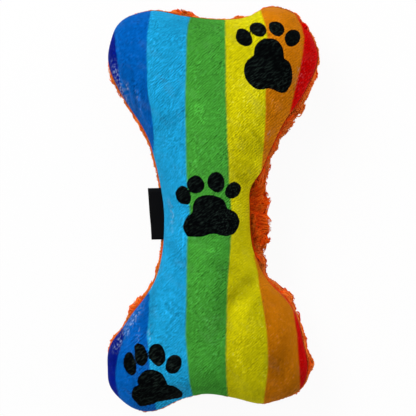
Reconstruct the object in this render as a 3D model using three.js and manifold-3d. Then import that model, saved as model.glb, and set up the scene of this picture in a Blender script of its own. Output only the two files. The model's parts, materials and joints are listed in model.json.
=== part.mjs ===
import * as THREE from 'three';
import { mergeVertices } from 'three/addons/utils/BufferGeometryUtils.js';
import Module from 'manifold-3d';

// A bone-shaped plush dog toy, lying on its shaggy back with the printed front up.
// Millimetres. +X is the front's right, +Y runs along the bone, +Z points out of the front.
// Two cloth panels of one outline are sewn together round their edge, and are filled with
// fibre that holds a bellows squeaker in each end. A folded label is caught in the left waist.

// Outline of the sewn edge
const BONE_LENGTH = 311;
const HEAD_WIDTH = 164;
const WAIST_WIDTH = 69;

// Cloth panels and their swell
const CLOTH = 2;
const FRONT_CROWN = 33;
const BACK_CROWN = 26;
const SWELL_REACH = 33;
const SWELL_POWER_SHARE = 0.55;
const EDGE_RISE = 1.6;
const SEAM_ALLOWANCE = 9;
const PANEL_GAP = 0.3;
const CLEARANCE = 0.3;

// Shaggy pile of the back panel
const PILE_LENGTH = 10;
const PILE_DROP = 6;
const REST_CUT = 0.5;

// Sewing threads
const THREAD = 0.9;
const STITCH_INSET = 3;
const CLOSING_LENGTH = 48;
const CLOSING_ALONG_SHARE = -0.46;

// Woven label
const LABEL_LENGTH = 40;
const LABEL_OUT = 11;
const LABEL_ALONG_SHARE = -0.026;
const RIBBON = 0.5;
const LABEL_LOOP = 1;
const LABEL_ROOT_OUT = 1.1;

// Fibre filling
const SHANK_FILL_SHARE = 0.38;
const SHANK_FILL_BULGE = 8;

// Bellows squeakers
const SQUEAKER_ALONG_SHARE = 0.64;
const SQUEAKER_DROP = 13;
const BELLOWS_RADIUS = 21;
const PLEAT_DEPTH = 3.6;
const PLEAT_PITCH = 6.4;
const PLEAT_LAND = 1.4;
const PLEAT_COUNT = 3;
const BELLOWS_WALL = 1.2;
const NECK_RADIUS = 6.2;
const NECK_LENGTH = 4;
const WHISTLE_FLANGE = 1.4;
const WHISTLE_LENGTH = 11;
const WHISTLE_WALL = 1;
const WHISTLE_LEAD = 0.6;
const REED_BOARD_LENGTH = 8;
const REED_CHANNEL_WIDTH = 1.8;
const REED_CHANNEL_DEPTH = 0.9;
const REED = 0.25;
const REED_WIDTH = 3;

// How finely round shapes are divided
const OUTSIDE_STEPS = { across: 14, along: 24, crowdShare: 0.9 };
const INSIDE_STEPS = { across: 10, along: 18, crowdShare: 0.3 };
const SAMPLES_PER_SPAN = 8;
const BELLOWS_SIDES = 24;
const WHISTLE_SIDES = 16;
const BEAD_SIDES = 12;
const OVERRUN = 5;

// Points of the sewn edge, counter-clockwise from the lower left knob. Each row holds the
// share across (of the half width there), the share from waist to head that sets that half
// width, and the share along the half length. Each table starts at its knob's corner.
const BOTTOM_EDGE_SHARES = [
  [-0.935, 1, -0.888],
  [-0.643, 1, -0.997],
  [-0.276, 1, -0.934],
  [-0.038, 1, -0.91],
  [0.257, 1, -0.934],
  [0.526, 1, -0.962],
];
const RIGHT_EDGE_SHARES = [
  [0.828, 1, -0.895],
  [0.928, 1, -0.747],
  [0.854, 1, -0.593],
  [0.885, 0.5, -0.376],
  [0.96, 0.03, -0.222],
  [0.902, 0, -0.004],
  [0.93, 0.15, 0.219],
  [0.885, 0.5, 0.38],
  [0.879, 1, 0.576],
  [1.005, 1, 0.749],
];
const TOP_EDGE_SHARES = [
  [0.892, 1, 0.918],
  [0.737, 1, 0.989],
  [0.526, 1, 0.997],
  [0.335, 1, 0.949],
  [0.067, 1, 0.935],
  [-0.249, 1, 0.952],
  [-0.58, 1, 0.981],
];
const LEFT_EDGE_SHARES = [
  [-0.91, 1, 0.911],
  [-0.982, 1, 0.764],
  [-0.861, 1, 0.58],
  [-0.842, 0.5, 0.36],
  [-1.04, 0.07, 0.135],
  [-1.046, 0, -0.063],
  [-1.028, 0.13, -0.331],
  [-0.888, 0.75, -0.534],
  [-0.977, 1, -0.697],
];

// How far the pile stands out past the sewn edge, as shares of its length, on each side
// and for the heads against the waist. It is combed under the front's edge at the foot.
const PILE_RIGHT_SHARE = 1.15;
const PILE_LEFT_SHARE = 0.5;
const PILE_TOP_SHARE = 0.6;
const PILE_BOTTOM_SHARE = 0.2;
const PILE_HEAD_SHARE = 0.5;
const PILE_FADE_FROM_SHARE = 0.25;
const PILE_FADE_TO_SHARE = 0.65;

const halfLength = BONE_LENGTH / 2;
const halfHead = HEAD_WIDTH / 2;
const halfWaist = WAIST_WIDTH / 2;
const halfGap = PANEL_GAP / 2;
const labelAlong = LABEL_ALONG_SHARE * halfLength;
const squeakerAlong = SQUEAKER_ALONG_SHARE * halfLength;
const edgeTables = [BOTTOM_EDGE_SHARES, RIGHT_EDGE_SHARES, TOP_EDGE_SHARES, LEFT_EDGE_SHARES];

const wasm = await Module();
wasm.setup();

// Solids for joining and cutting
function solid(geometry) {
  const bare = geometry.clone();
  for (const name of ['normal', 'uv']) bare.deleteAttribute(name);
  const merged = mergeVertices(bare);
  return new wasm.Manifold(new wasm.Mesh({
    numProp: 3,
    vertProperties: new Float32Array(merged.attributes.position.array),
    triVerts: new Uint32Array(merged.index.array),
  }));
}

function geometryOf(manifold) {
  const mesh = manifold.getMesh();
  const geometry = new THREE.BufferGeometry();
  geometry.setAttribute('position', new THREE.BufferAttribute(mesh.vertProperties, 3));
  geometry.setIndex(new THREE.BufferAttribute(mesh.triVerts, 1));
  geometry.computeVertexNormals();
  return geometry;
}

// The sewn edge as a smooth closed curve, moved outward by a distance that may vary
const edgePoints = edgeTables.flat().map(([across, flare, along]) => new THREE.Vector3(
  across * THREE.MathUtils.lerp(halfWaist, halfHead, flare),
  along * halfLength,
  0,
));
const sewnEdge = new THREE.CatmullRomCurve3(edgePoints, true, 'centripetal');

function edgeSide(side, outward) {
  const first = edgeTables.slice(0, side).flat().length;
  const spans = edgeTables[side].length;
  const points = [];
  for (let k = 0; k <= spans * SAMPLES_PER_SPAN; k += 1) {
    const t = ((first + k / SAMPLES_PER_SPAN) / edgePoints.length) % 1;
    const point = sewnEdge.getPoint(t);
    const tangent = sewnEdge.getTangent(t);
    const normal = new THREE.Vector2(tangent.y, -tangent.x).normalize();
    const place = new THREE.Vector2(point.x, point.y);
    points.push(place.addScaledVector(normal, outward(normal, point.y)));
  }
  return points;
}

// The point at a share of a polyline's length
function pointAt(points, share) {
  const reach = [0];
  for (let k = 1; k < points.length; k += 1) {
    reach.push(reach[k - 1] + points[k].distanceTo(points[k - 1]));
  }
  const wanted = share * reach.at(-1);
  const k = Math.min(Math.max(reach.findIndex((length) => length >= wanted), 1), points.length - 1);
  const within = (wanted - reach[k - 1]) / (reach[k] - reach[k - 1]);
  return points[k - 1].clone().lerp(points[k], within);
}

// Rows and columns that crowd towards the edge, where the swell is steep
function crowd(step, steps, share) {
  const crowded = (1 - Math.cos(Math.PI * step / steps)) / 2;
  return THREE.MathUtils.lerp(step / steps, crowded, share);
}

// A net of points that fills the outline between its four sides
function panelNet(outward, steps) {
  const [bottom, right, top, left] = edgeTables.map((_, side) => edgeSide(side, outward));
  const corners = [bottom[0], right[0], top[0], left[0]];
  const rows = [];
  for (let j = 0; j <= steps.along; j += 1) {
    const v = crowd(j, steps.along, steps.crowdShare);
    const row = [];
    for (let i = 0; i <= steps.across; i += 1) {
      const u = crowd(i, steps.across, steps.crowdShare);
      const point = new THREE.Vector2();
      point.addScaledVector(pointAt(bottom, u), 1 - v).addScaledVector(pointAt(top, 1 - u), v);
      point.addScaledVector(pointAt(left, 1 - v), 1 - u).addScaledVector(pointAt(right, v), u);
      point.addScaledVector(corners[0], -(1 - u) * (1 - v)).addScaledVector(corners[1], -u * (1 - v));
      point.addScaledVector(corners[2], -u * v).addScaledVector(corners[3], -(1 - u) * v);
      row.push(point);
    }
    rows.push(row);
  }
  return rows;
}

// A net's rim, counter-clockwise, as row and column pairs
function rimPlaces(net) {
  const along = net.length - 1;
  const across = net[0].length - 1;
  const places = [];
  for (let i = 0; i < across; i += 1) places.push([0, i]);
  for (let j = 0; j < along; j += 1) places.push([j, across]);
  for (let i = across; i > 0; i -= 1) places.push([along, i]);
  for (let j = along; j > 0; j -= 1) places.push([j, 0]);
  return places;
}
const rimOf = (net) => rimPlaces(net).map(([j, i]) => net[j][i]);

// How near a point is to the whole edge at once: a smooth blend of all its distances
function softDistance(point, rim) {
  let pull = 0;
  for (let k = 0; k < rim.length; k += 1) {
    const from = rim[k];
    const along = rim[(k + 1) % rim.length].clone().sub(from);
    const length = along.length();
    along.divideScalar(length);
    const offset = from.clone().sub(point);
    const start = offset.dot(along);
    const end = start + length;
    const away = Math.max(offset.cross(along) ** 2, Number.EPSILON);
    pull += (end / Math.hypot(end, Math.sqrt(away)) - start / Math.hypot(start, Math.sqrt(away))) / away;
  }
  return Math.sqrt(2 / pull);
}

// Share of the crown's height over each point of a net: nothing at the edge, then a dome
function swell(net) {
  const rim = rimOf(net);
  return net.map((row, j) => row.map((point, i) => {
    if (i === 0 || j === 0 || i === row.length - 1 || j === net.length - 1) return 0;
    const depth = Math.min(softDistance(point, rim) / SWELL_REACH, 1);
    return (1 - (1 - depth) ** 2) ** SWELL_POWER_SHARE;
  }));
}

// A closed body between an upper and a lower net, each with a base height and a crown
function pillow(upper, upperBase, upperCrown, lower, lowerBase, lowerCrown) {
  const width = upper[0].length;
  const rim = rimPlaces(upper);
  const positions = [];
  const faces = [];
  for (const [net, base, crown] of [[upper, upperBase, upperCrown], [lower, lowerBase, lowerCrown]]) {
    const heights = swell(net);
    net.forEach((row, j) => row.forEach((point, i) => {
      positions.push(point.x, point.y, base + crown * heights[j][i]);
    }));
  }
  const under = positions.length / 6;
  for (let j = 0; j < upper.length - 1; j += 1) {
    for (let i = 0; i < width - 1; i += 1) {
      const a = j * width + i;
      const b = a + 1;
      const c = a + width + 1;
      const d = a + width;
      faces.push(a, b, c, a, c, d);
      faces.push(under + a, under + c, under + b, under + a, under + d, under + c);
    }
  }
  rim.forEach(([j, i], k) => {
    const [nextJ, nextI] = rim[(k + 1) % rim.length];
    const a = j * width + i;
    const b = nextJ * width + nextI;
    faces.push(under + a, under + b, b, under + a, b, a);
  });
  const geometry = new THREE.BufferGeometry();
  geometry.setAttribute('position', new THREE.Float32BufferAttribute(positions, 3));
  geometry.setIndex(faces);
  return solid(geometry);
}

// An upright block with the sewn edge's outline
function slab(inset, low, high) {
  const shape = new THREE.Shape(rimOf(panelNet(() => -inset, INSIDE_STEPS)));
  const geometry = new THREE.ExtrudeGeometry(shape, { depth: high - low, bevelEnabled: false });
  geometry.translate(0, 0, low);
  return solid(geometry);
}

function block(lowX, highX, lowY, highY, lowZ, highZ) {
  const geometry = new THREE.BoxGeometry(highX - lowX, highY - lowY, highZ - lowZ);
  geometry.translate((lowX + highX) / 2, (lowY + highY) / 2, (lowZ + highZ) / 2);
  return solid(geometry);
}

function uprightCylinder(radius, x, y, low, high, sides) {
  const geometry = new THREE.CylinderGeometry(radius, radius, high - low, sides);
  geometry.rotateX(Math.PI / 2);
  geometry.translate(x, y, (low + high) / 2);
  return solid(geometry);
}

// How far the pile stands out past the sewn edge at each place
function pileOutset(normal, along) {
  const sideShare = normal.x > 0 ? PILE_RIGHT_SHARE : PILE_LEFT_SHARE;
  const endShare = normal.y > 0 ? PILE_TOP_SHARE : PILE_BOTTOM_SHARE;
  const share = sideShare * normal.x ** 2 + endShare * normal.y ** 2;
  const from = PILE_FADE_FROM_SHARE * halfLength;
  const fade = THREE.MathUtils.smoothstep(Math.abs(along), from, PILE_FADE_TO_SHARE * halfLength);
  return PILE_LENGTH * share * THREE.MathUtils.lerp(1, PILE_HEAD_SHARE, fade);
}

const sewnNet = panelNet(() => 0, OUTSIDE_STEPS);
const pileNet = panelNet(pileOutset, OUTSIDE_STEPS);
const insideNet = panelNet(() => -CLOTH, INSIDE_STEPS);
const fillNet = panelNet(() => -CLOTH - CLEARANCE, INSIDE_STEPS);

// Where the label leaves the seam: midway between the edge points at its two ends
function labelSeat() {
  const left = edgeSide(3, () => 0);
  const upper = left.find((point) => point.y <= labelAlong + LABEL_LENGTH / 2);
  const lower = left.find((point) => point.y <= labelAlong - LABEL_LENGTH / 2);
  const heading = lower.clone().sub(upper).normalize();
  const outward = new THREE.Vector2(heading.y, -heading.x);
  const place = upper.clone().lerp(lower, 0.5).addScaledVector(outward, LABEL_ROOT_OUT);
  return { place, angle: Math.atan2(heading.y, heading.x) };
}

// A rod along the seam at the label's root, which clears the notch for it
function labelNotch(radius, length) {
  const { place, angle } = labelSeat();
  const geometry = new THREE.CylinderGeometry(radius, radius, length, BEAD_SIDES);
  geometry.rotateZ(angle - Math.PI / 2);
  geometry.translate(place.x, place.y, 0);
  return solid(geometry);
}

// The line of stitches, as a ring that runs inside the seam
function stitchRing(slack, low, high) {
  const outer = slab(STITCH_INSET - slack, low, high);
  return outer.subtract(slab(STITCH_INSET + THREAD + slack, low - OVERRUN, high + OVERRUN));
}

const threadLow = halfGap;
const threadHigh = threadLow + THREAD;
const labelThickness = LABEL_LOOP + 2 * RIBBON;

function frontCover() {
  const outer = pillow(sewnNet, halfGap + EDGE_RISE, FRONT_CROWN, sewnNet, halfGap, 0);
  const hollowLow = halfGap + CLOTH;
  const hollow = pillow(insideNet, hollowLow + EDGE_RISE, FRONT_CROWN - CLOTH - CLOTH, insideNet, hollowLow, 0);
  const mouth = slab(SEAM_ALLOWANCE, -OVERRUN, hollowLow + EDGE_RISE / 2);
  const groove = stitchRing(CLEARANCE, -OVERRUN, threadHigh + CLEARANCE);
  const notch = labelNotch(labelThickness / 2 + CLEARANCE, LABEL_LENGTH + 2 * CLEARANCE);
  return outer.subtract(hollow).subtract(mouth).subtract(groove).subtract(notch);
}

function backBody() {
  return pillow(sewnNet, -halfGap, 0, pileNet, -halfGap - PILE_DROP, PILE_DROP - BACK_CROWN - PILE_LENGTH);
}

// The back rests on the pile's lowest part, pressed flat
const REST_LEVEL = backBody().boundingBox().min[2] + REST_CUT;

function backCover() {
  const hollowHigh = -halfGap - CLOTH;
  const hollow = pillow(insideNet, hollowHigh, 0, insideNet, hollowHigh - EDGE_RISE, CLOTH + CLOTH - BACK_CROWN);
  const mouth = slab(SEAM_ALLOWANCE, hollowHigh - EDGE_RISE / 2, OVERRUN);
  const notch = labelNotch(labelThickness / 2 + CLEARANCE, LABEL_LENGTH + 2 * CLEARANCE);
  const floor = block(-HEAD_WIDTH, HEAD_WIDTH, -BONE_LENGTH, BONE_LENGTH, REST_LEVEL - OVERRUN, REST_LEVEL);
  return backBody().subtract(hollow).subtract(mouth).subtract(notch).subtract(floor);
}

// Sewing threads: the machine seam, and the hand-sewn part where the toy was stuffed
function closingBlock(slack) {
  const reach = CLOSING_LENGTH / 2 - slack;
  const along = CLOSING_ALONG_SHARE * halfLength;
  return block(0, HEAD_WIDTH, along - reach, along + reach, -OVERRUN, OVERRUN);
}

function seamThread() {
  return stitchRing(0, threadLow, threadHigh).subtract(closingBlock(0));
}

function closingThread() {
  return stitchRing(0, threadLow, threadHigh).intersect(closingBlock(CLEARANCE));
}

// Woven label: a ribbon folded in half, its fold outward and its root held in the seam
function labelFlap() {
  const radius = labelThickness / 2;
  const fold = LABEL_OUT - LABEL_ROOT_OUT - radius;
  const outline = new THREE.Shape();
  outline.absarc(0, 0, radius, Math.PI / 2, Math.PI * 1.5, false);
  outline.absarc(fold, 0, radius, -Math.PI / 2, Math.PI / 2, false);
  const hole = new THREE.Path();
  hole.absarc(radius, 0, LABEL_LOOP / 2, Math.PI / 2, Math.PI * 1.5, false);
  hole.absarc(fold, 0, LABEL_LOOP / 2, -Math.PI / 2, Math.PI / 2, false);
  outline.holes.push(hole);
  const geometry = new THREE.ExtrudeGeometry(outline, {
    depth: LABEL_LENGTH,
    bevelEnabled: false,
    curveSegments: BEAD_SIDES / 2,
  });
  geometry.translate(0, 0, -LABEL_LENGTH / 2);
  geometry.rotateX(Math.PI / 2);
  return geometry;
}

// Fibre filling: one clump in the shank and two in each end, packed round the squeakers
function stuffing() {
  const near = halfGap + CLOTH + CLEARANCE;
  const brim = near + EDGE_RISE - CLEARANCE - CLEARANCE;
  const lining = CLOTH + CLOTH + CLEARANCE;
  const upper = pillow(fillNet, brim, FRONT_CROWN - lining, fillNet, near, 0);
  const lower = pillow(fillNet, -near, 0, fillNet, -brim, lining - BACK_CROWN);
  const core = slab(SEAM_ALLOWANCE + CLEARANCE, -near - EDGE_RISE / 2, near + EDGE_RISE / 2);
  let whole = upper.add(lower).add(core);
  for (const along of [squeakerAlong, -squeakerAlong]) {
    const radius = (BELLOWS_RADIUS + CLEARANCE) / Math.cos(Math.PI / BELLOWS_SIDES);
    const low = -SQUEAKER_DROP - CLEARANCE;
    const high = -SQUEAKER_DROP + squeakerHeight + CLEARANCE;
    whole = whole.subtract(uprightCylinder(radius, 0, along, low, high, BELLOWS_SIDES));
  }
  return whole;
}

function shankRegion(growth) {
  const reach = SHANK_FILL_SHARE * halfLength + growth;
  const shape = new THREE.Shape();
  shape.moveTo(-HEAD_WIDTH, -reach);
  shape.lineTo(-halfWaist, -reach);
  shape.quadraticCurveTo(0, -reach - SHANK_FILL_BULGE, halfWaist, -reach);
  shape.lineTo(HEAD_WIDTH, -reach);
  shape.lineTo(HEAD_WIDTH, reach);
  shape.lineTo(halfWaist, reach);
  shape.quadraticCurveTo(0, reach + SHANK_FILL_BULGE, -halfWaist, reach);
  shape.lineTo(-HEAD_WIDTH, reach);
  const depth = FRONT_CROWN + BACK_CROWN;
  const geometry = new THREE.ExtrudeGeometry(shape, { depth: 2 * depth, bevelEnabled: false, curveSegments: 6 });
  geometry.translate(0, 0, -depth);
  return solid(geometry);
}

function endRegion(side, end) {
  const tall = FRONT_CROWN + BACK_CROWN;
  const [lowX, highX] = side < 0 ? [-HEAD_WIDTH, -CLEARANCE / 2] : [CLEARANCE / 2, HEAD_WIDTH];
  const [lowY, highY] = end < 0 ? [-BONE_LENGTH, 0] : [0, BONE_LENGTH];
  return block(lowX, highX, lowY, highY, -tall, tall);
}

// Bellows squeaker, standing on its base at its own origin
const bellowsHeight = PLEAT_COUNT * PLEAT_PITCH + PLEAT_LAND;
const squeakerHeight = bellowsHeight + NECK_LENGTH + CLEARANCE + WHISTLE_FLANGE;

function bellows() {
  const outside = [[0, 0]];
  const inside = [[0, BELLOWS_WALL]];
  const valley = BELLOWS_RADIUS - PLEAT_DEPTH;
  for (let k = 0; k <= PLEAT_COUNT; k += 1) {
    const z = k * PLEAT_PITCH;
    const low = k === 0 ? BELLOWS_WALL : z;
    const high = k === PLEAT_COUNT ? z + PLEAT_LAND - BELLOWS_WALL : z + PLEAT_LAND;
    outside.push([BELLOWS_RADIUS, z], [BELLOWS_RADIUS, z + PLEAT_LAND]);
    inside.push([BELLOWS_RADIUS - BELLOWS_WALL, low], [BELLOWS_RADIUS - BELLOWS_WALL, high]);
    if (k < PLEAT_COUNT) {
      outside.push([valley, z + (PLEAT_PITCH + PLEAT_LAND) / 2]);
      inside.push([valley - BELLOWS_WALL, z + (PLEAT_PITCH + PLEAT_LAND) / 2]);
    }
  }
  const top = bellowsHeight + NECK_LENGTH;
  outside.push([NECK_RADIUS, bellowsHeight], [NECK_RADIUS, top]);
  inside.push([NECK_RADIUS - BELLOWS_WALL, bellowsHeight - BELLOWS_WALL], [NECK_RADIUS - BELLOWS_WALL, top]);
  return turned([...outside, ...inside.reverse()], BELLOWS_SIDES);
}

// A profile of radius and height pairs, turned about the upright axis
function turned(profile, sides) {
  const closed = profile[0][0] > 0 ? [...profile, profile[0]] : profile;
  const geometry = new THREE.LatheGeometry(closed.map(([r, z]) => new THREE.Vector2(r, z)), sides);
  return geometry.rotateX(Math.PI / 2);
}

const whistleRadius = NECK_RADIUS - BELLOWS_WALL - CLEARANCE;
const whistleBore = whistleRadius - WHISTLE_WALL;
const whistleSeat = bellowsHeight + NECK_LENGTH + CLEARANCE;

function whistleSleeve() {
  const top = whistleSeat + WHISTLE_FLANGE;
  const foot = top - WHISTLE_LENGTH;
  const profile = [
    [whistleBore, foot],
    [whistleRadius - WHISTLE_LEAD, foot],
    [whistleRadius, foot + WHISTLE_LEAD],
    [whistleRadius, whistleSeat],
    [NECK_RADIUS, whistleSeat],
    [NECK_RADIUS, top],
    [whistleBore, top],
  ];
  return turned(profile, WHISTLE_SIDES);
}

// Reed board: a half-round plug in the sleeve's bore, with an air channel under the reed
const boardRadius = (whistleBore - CLEARANCE) * Math.cos(Math.PI / WHISTLE_SIDES);
const boardFoot = whistleSeat + WHISTLE_FLANGE - WHISTLE_LENGTH + (WHISTLE_LENGTH - REED_BOARD_LENGTH) / 2;

function reedBoard() {
  const shape = new THREE.Shape();
  const half = REED_CHANNEL_WIDTH / 2;
  shape.absarc(0, 0, boardRadius, Math.PI, 2 * Math.PI, false);
  shape.lineTo(half, 0);
  shape.lineTo(half, -REED_CHANNEL_DEPTH);
  shape.lineTo(-half, -REED_CHANNEL_DEPTH);
  shape.lineTo(-half, 0);
  const geometry = new THREE.ExtrudeGeometry(shape, {
    depth: REED_BOARD_LENGTH,
    bevelEnabled: false,
    curveSegments: WHISTLE_SIDES / 2,
  });
  return geometry.translate(0, 0, boardFoot);
}

function reed() {
  const geometry = new THREE.BoxGeometry(REED_WIDTH, REED, REED_BOARD_LENGTH);
  return geometry.translate(0, CLEARANCE + REED / 2, boardFoot + REED_BOARD_LENGTH / 2);
}

// Finishes
const finish = (color, roughness, metalness = 0) => new THREE.MeshStandardMaterial({ color, roughness, metalness });
const velour = finish(0x2a98d8, 0.9);
const plush = finish(0xe2601a, 1);
const threadYarn = finish(0xd86a24, 0.8);
const satin = finish(0x0c0c0e, 0.6);
const fibre = finish(0xf2f1ec, 1);
const softPlastic = finish(0xe9e6dc, 0.5);
const hardPlastic = finish(0xd9d9d6, 0.4);
const reedFilm = finish(0xc9d6dc, 0.3);

const toy = new THREE.Group();

function place(name, geometry, material, parent = toy) {
  const mesh = new THREE.Mesh(geometry, material);
  mesh.name = name;
  parent.add(mesh);
  return mesh;
}

// Casing
place('front_cover', geometryOf(frontCover()), velour);
place('back_cover', geometryOf(backCover()), plush);
place('seam_thread', geometryOf(seamThread()), threadYarn);
place('closing_thread', geometryOf(closingThread()), threadYarn);

// Label at the left of the waist
const seat = labelSeat();
const label = place('label', labelFlap(), satin);
label.position.set(seat.place.x, seat.place.y, 0);
label.rotation.z = seat.angle - Math.PI / 2;

// Filling
const fill = stuffing();
const ends = fill.subtract(shankRegion(CLEARANCE));
place('shank_fill', geometryOf(fill.intersect(shankRegion(0))), fibre);
for (const [end, endName] of [[1, 'upper'], [-1, 'lower']]) {
  for (const [side, sideName] of [[-1, 'left'], [1, 'right']]) {
    place(`${endName}_${sideName}_fill`, geometryOf(ends.intersect(endRegion(side, end))), fibre);
  }
}

// A squeaker in each end
for (const [end, endName] of [[1, 'upper'], [-1, 'lower']]) {
  const squeaker = new THREE.Group();
  squeaker.position.set(0, end * squeakerAlong, -SQUEAKER_DROP);
  place(`${endName}_bellows`, bellows(), softPlastic, squeaker);
  place(`${endName}_whistle_sleeve`, whistleSleeve(), hardPlastic, squeaker);
  place(`${endName}_reed_board`, reedBoard(), hardPlastic, squeaker);
  place(`${endName}_reed`, reed(), reedFilm, squeaker);
  toy.add(squeaker);
}

// The origin is under the middle of the whole toy, on the surface that it lies on
toy.updateMatrixWorld(true);
const box = new THREE.Box3().setFromObject(toy, true);
toy.position.set(-(box.min.x + box.max.x) / 2, -(box.min.y + box.max.y) / 2, -box.min.z);

export default toy;
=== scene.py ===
# %% [markdown]
# # A bone-shaped stuffed dog toy
# The real toy is a cloth bag: printed velour in front and shaggy orange plush behind, sewn together round the
# outline of a bone, turned out through a gap, and stuffed with fibre and two squeakers.
# The measured CAD model is loaded first and is never changed. Each soft solid in it is then replaced by a
# piece with real folds, pile and weave, which stays where the solid is.

# %% Load the measured model
import json
import math

import bmesh
import bpy
import numpy as np
from mathutils import Matrix, Vector
from mathutils.kdtree import KDTree

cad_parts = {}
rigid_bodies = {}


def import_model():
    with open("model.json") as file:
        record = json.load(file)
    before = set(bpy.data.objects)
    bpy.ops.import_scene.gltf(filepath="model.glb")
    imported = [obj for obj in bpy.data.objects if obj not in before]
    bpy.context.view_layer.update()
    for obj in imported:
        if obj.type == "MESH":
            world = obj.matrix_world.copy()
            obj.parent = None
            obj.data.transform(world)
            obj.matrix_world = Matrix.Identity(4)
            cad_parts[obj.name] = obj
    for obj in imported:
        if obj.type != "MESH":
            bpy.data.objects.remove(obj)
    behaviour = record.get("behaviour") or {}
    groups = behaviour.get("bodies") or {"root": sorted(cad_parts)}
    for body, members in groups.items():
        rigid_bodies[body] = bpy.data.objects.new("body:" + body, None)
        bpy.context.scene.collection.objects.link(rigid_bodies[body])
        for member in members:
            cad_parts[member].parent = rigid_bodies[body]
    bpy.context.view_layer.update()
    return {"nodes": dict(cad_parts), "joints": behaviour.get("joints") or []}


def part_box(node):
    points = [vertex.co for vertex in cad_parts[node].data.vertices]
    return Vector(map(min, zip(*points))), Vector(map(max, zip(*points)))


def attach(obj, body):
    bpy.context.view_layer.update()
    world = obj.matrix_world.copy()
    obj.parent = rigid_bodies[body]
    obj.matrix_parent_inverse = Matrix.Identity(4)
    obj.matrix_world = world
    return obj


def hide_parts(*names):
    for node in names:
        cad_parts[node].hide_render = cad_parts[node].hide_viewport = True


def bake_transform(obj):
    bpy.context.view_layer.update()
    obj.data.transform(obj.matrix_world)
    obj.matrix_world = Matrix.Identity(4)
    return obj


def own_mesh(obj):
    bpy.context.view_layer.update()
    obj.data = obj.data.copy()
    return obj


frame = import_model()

MM = 0.001


# %% Small helpers for rows of points
def unit(vectors):
    """Each row made one unit long"""
    return vectors / np.maximum(np.linalg.norm(vectors, axis=1), 1e-12)[:, None]


def dots(first, second):
    """The dot product of each row with its partner"""
    return (first * second).sum(-1)


def closed(line):
    """A line of points that returns to its first one"""
    return np.vstack([line, line[:1]])


def run_along(line):
    """The length of a line of points up to each of them"""
    return np.concatenate([[0], np.cumsum(np.linalg.norm(np.diff(line, axis=0), axis=1))])


def outward_normals(line):
    """Unit normals of a closed line, to the right of its heading"""
    heading = np.roll(line, -1, axis=0) - np.roll(line, 1, axis=0)
    return unit(np.stack([heading[:, 1], -heading[:, 0]], axis=1))


# %% [markdown]
# ## The sewn outline
# Both cloths are cut to one bone outline, so one closed curve rules every soft piece. It runs through points
# that were measured on the photograph: the share across, the share from waist to head that sets the half
# width there, and the share along. Each side starts at a knob's corner.

# %% Points of the outline
HALF_LENGTH = 155.5
HALF_HEAD = 82
HALF_WAIST = 34.5
EDGE_SHARES = {
    "bottom": [
        (-0.935, 1, -0.888), (-0.643, 1, -0.997), (-0.276, 1, -0.934),
        (-0.038, 1, -0.91), (0.257, 1, -0.934), (0.526, 1, -0.962),
    ],
    "right": [
        (0.828, 1, -0.895), (0.928, 1, -0.747), (0.854, 1, -0.593), (0.885, 0.5, -0.376),
        (0.96, 0.03, -0.222), (0.902, 0, -0.004), (0.93, 0.15, 0.219), (0.885, 0.5, 0.38),
        (0.879, 1, 0.576), (1.005, 1, 0.749),
    ],
    "top": [
        (0.892, 1, 0.918), (0.737, 1, 0.989), (0.526, 1, 0.997), (0.335, 1, 0.949),
        (0.067, 1, 0.935), (-0.249, 1, 0.952), (-0.58, 1, 0.981),
    ],
    "left": [
        (-0.91, 1, 0.911), (-0.982, 1, 0.764), (-0.861, 1, 0.58), (-0.842, 0.5, 0.36),
        (-1.04, 0.07, 0.135), (-1.046, 0, -0.063), (-1.028, 0.13, -0.331),
        (-0.888, 0.75, -0.534), (-0.977, 1, -0.697),
    ],
}
SIDE_NAMES = ["bottom", "right", "top", "left"]
SPAN_SAMPLES = 24


def smooth_loop(points, samples):
    """A closed curve through points that bends evenly even where they are unevenly spaced"""
    points = np.array(points, float)
    before, after, beyond = (np.roll(points, shift, axis=0) for shift in (1, -1, -2))
    pairs = ((before, points), (points, after), (after, beyond))
    gap_in, gap, gap_out = (np.sqrt(np.linalg.norm(end - start, axis=1))[:, None] for start, end in pairs)
    leave = ((points - before) / gap_in - (after - before) / (gap_in + gap) + (after - points) / gap) * gap
    arrive = ((after - points) / gap - (beyond - points) / (gap + gap_out) + (beyond - after) / gap_out) * gap
    t = np.linspace(0, 1, samples, endpoint=False)[None, :, None]
    points, after, leave, arrive = (a[:, None, :] for a in (points, after, leave, arrive))
    square = (3 * (after - points) - 2 * leave - arrive) * t ** 2
    cube = (2 * (points - after) + leave + arrive) * t ** 3
    return (points + leave * t + square + cube).reshape(-1, 2)


edge_rows = [row for name in SIDE_NAMES for row in EDGE_SHARES[name]]
edge_knots = [(a * (HALF_WAIST + (HALF_HEAD - HALF_WAIST) * f), HALF_LENGTH * b) for a, f, b in edge_rows]
edge_line = smooth_loop(edge_knots, SPAN_SAMPLES)
edge_normal = outward_normals(edge_line)
edge_reach = run_along(closed(edge_line))
print("sewn edge, mm:", round(edge_reach[-1]))

# %% Where the outline lies in the model
cover_low, cover_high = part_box("front_cover")
plush_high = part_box("back_cover")[1]
SEAM_HEIGHT = (cover_low.z + plush_high.z) / 2
edge_middle = (edge_line.min(0) + edge_line.max(0)) / 2 * MM
TOY_X = (cover_low.x + cover_high.x) / 2 - edge_middle[0]
TOY_Y = (cover_low.y + cover_high.y) / 2 - edge_middle[1]


def toy_places(points, heights):
    """Metres in the model for millimetres on the outline's plane and heights above the seam"""
    heights = np.broadcast_to(np.asarray(heights, float), points.shape[:-1])
    places = [points[..., 0] * MM + TOY_X, points[..., 1] * MM + TOY_Y, heights * MM + SEAM_HEIGHT]
    return np.stack(places, axis=-1)


print("outline centre, mm:", round(TOY_X / MM, 2), round(TOY_Y / MM, 2), "seam", round(SEAM_HEIGHT / MM, 2))

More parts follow.
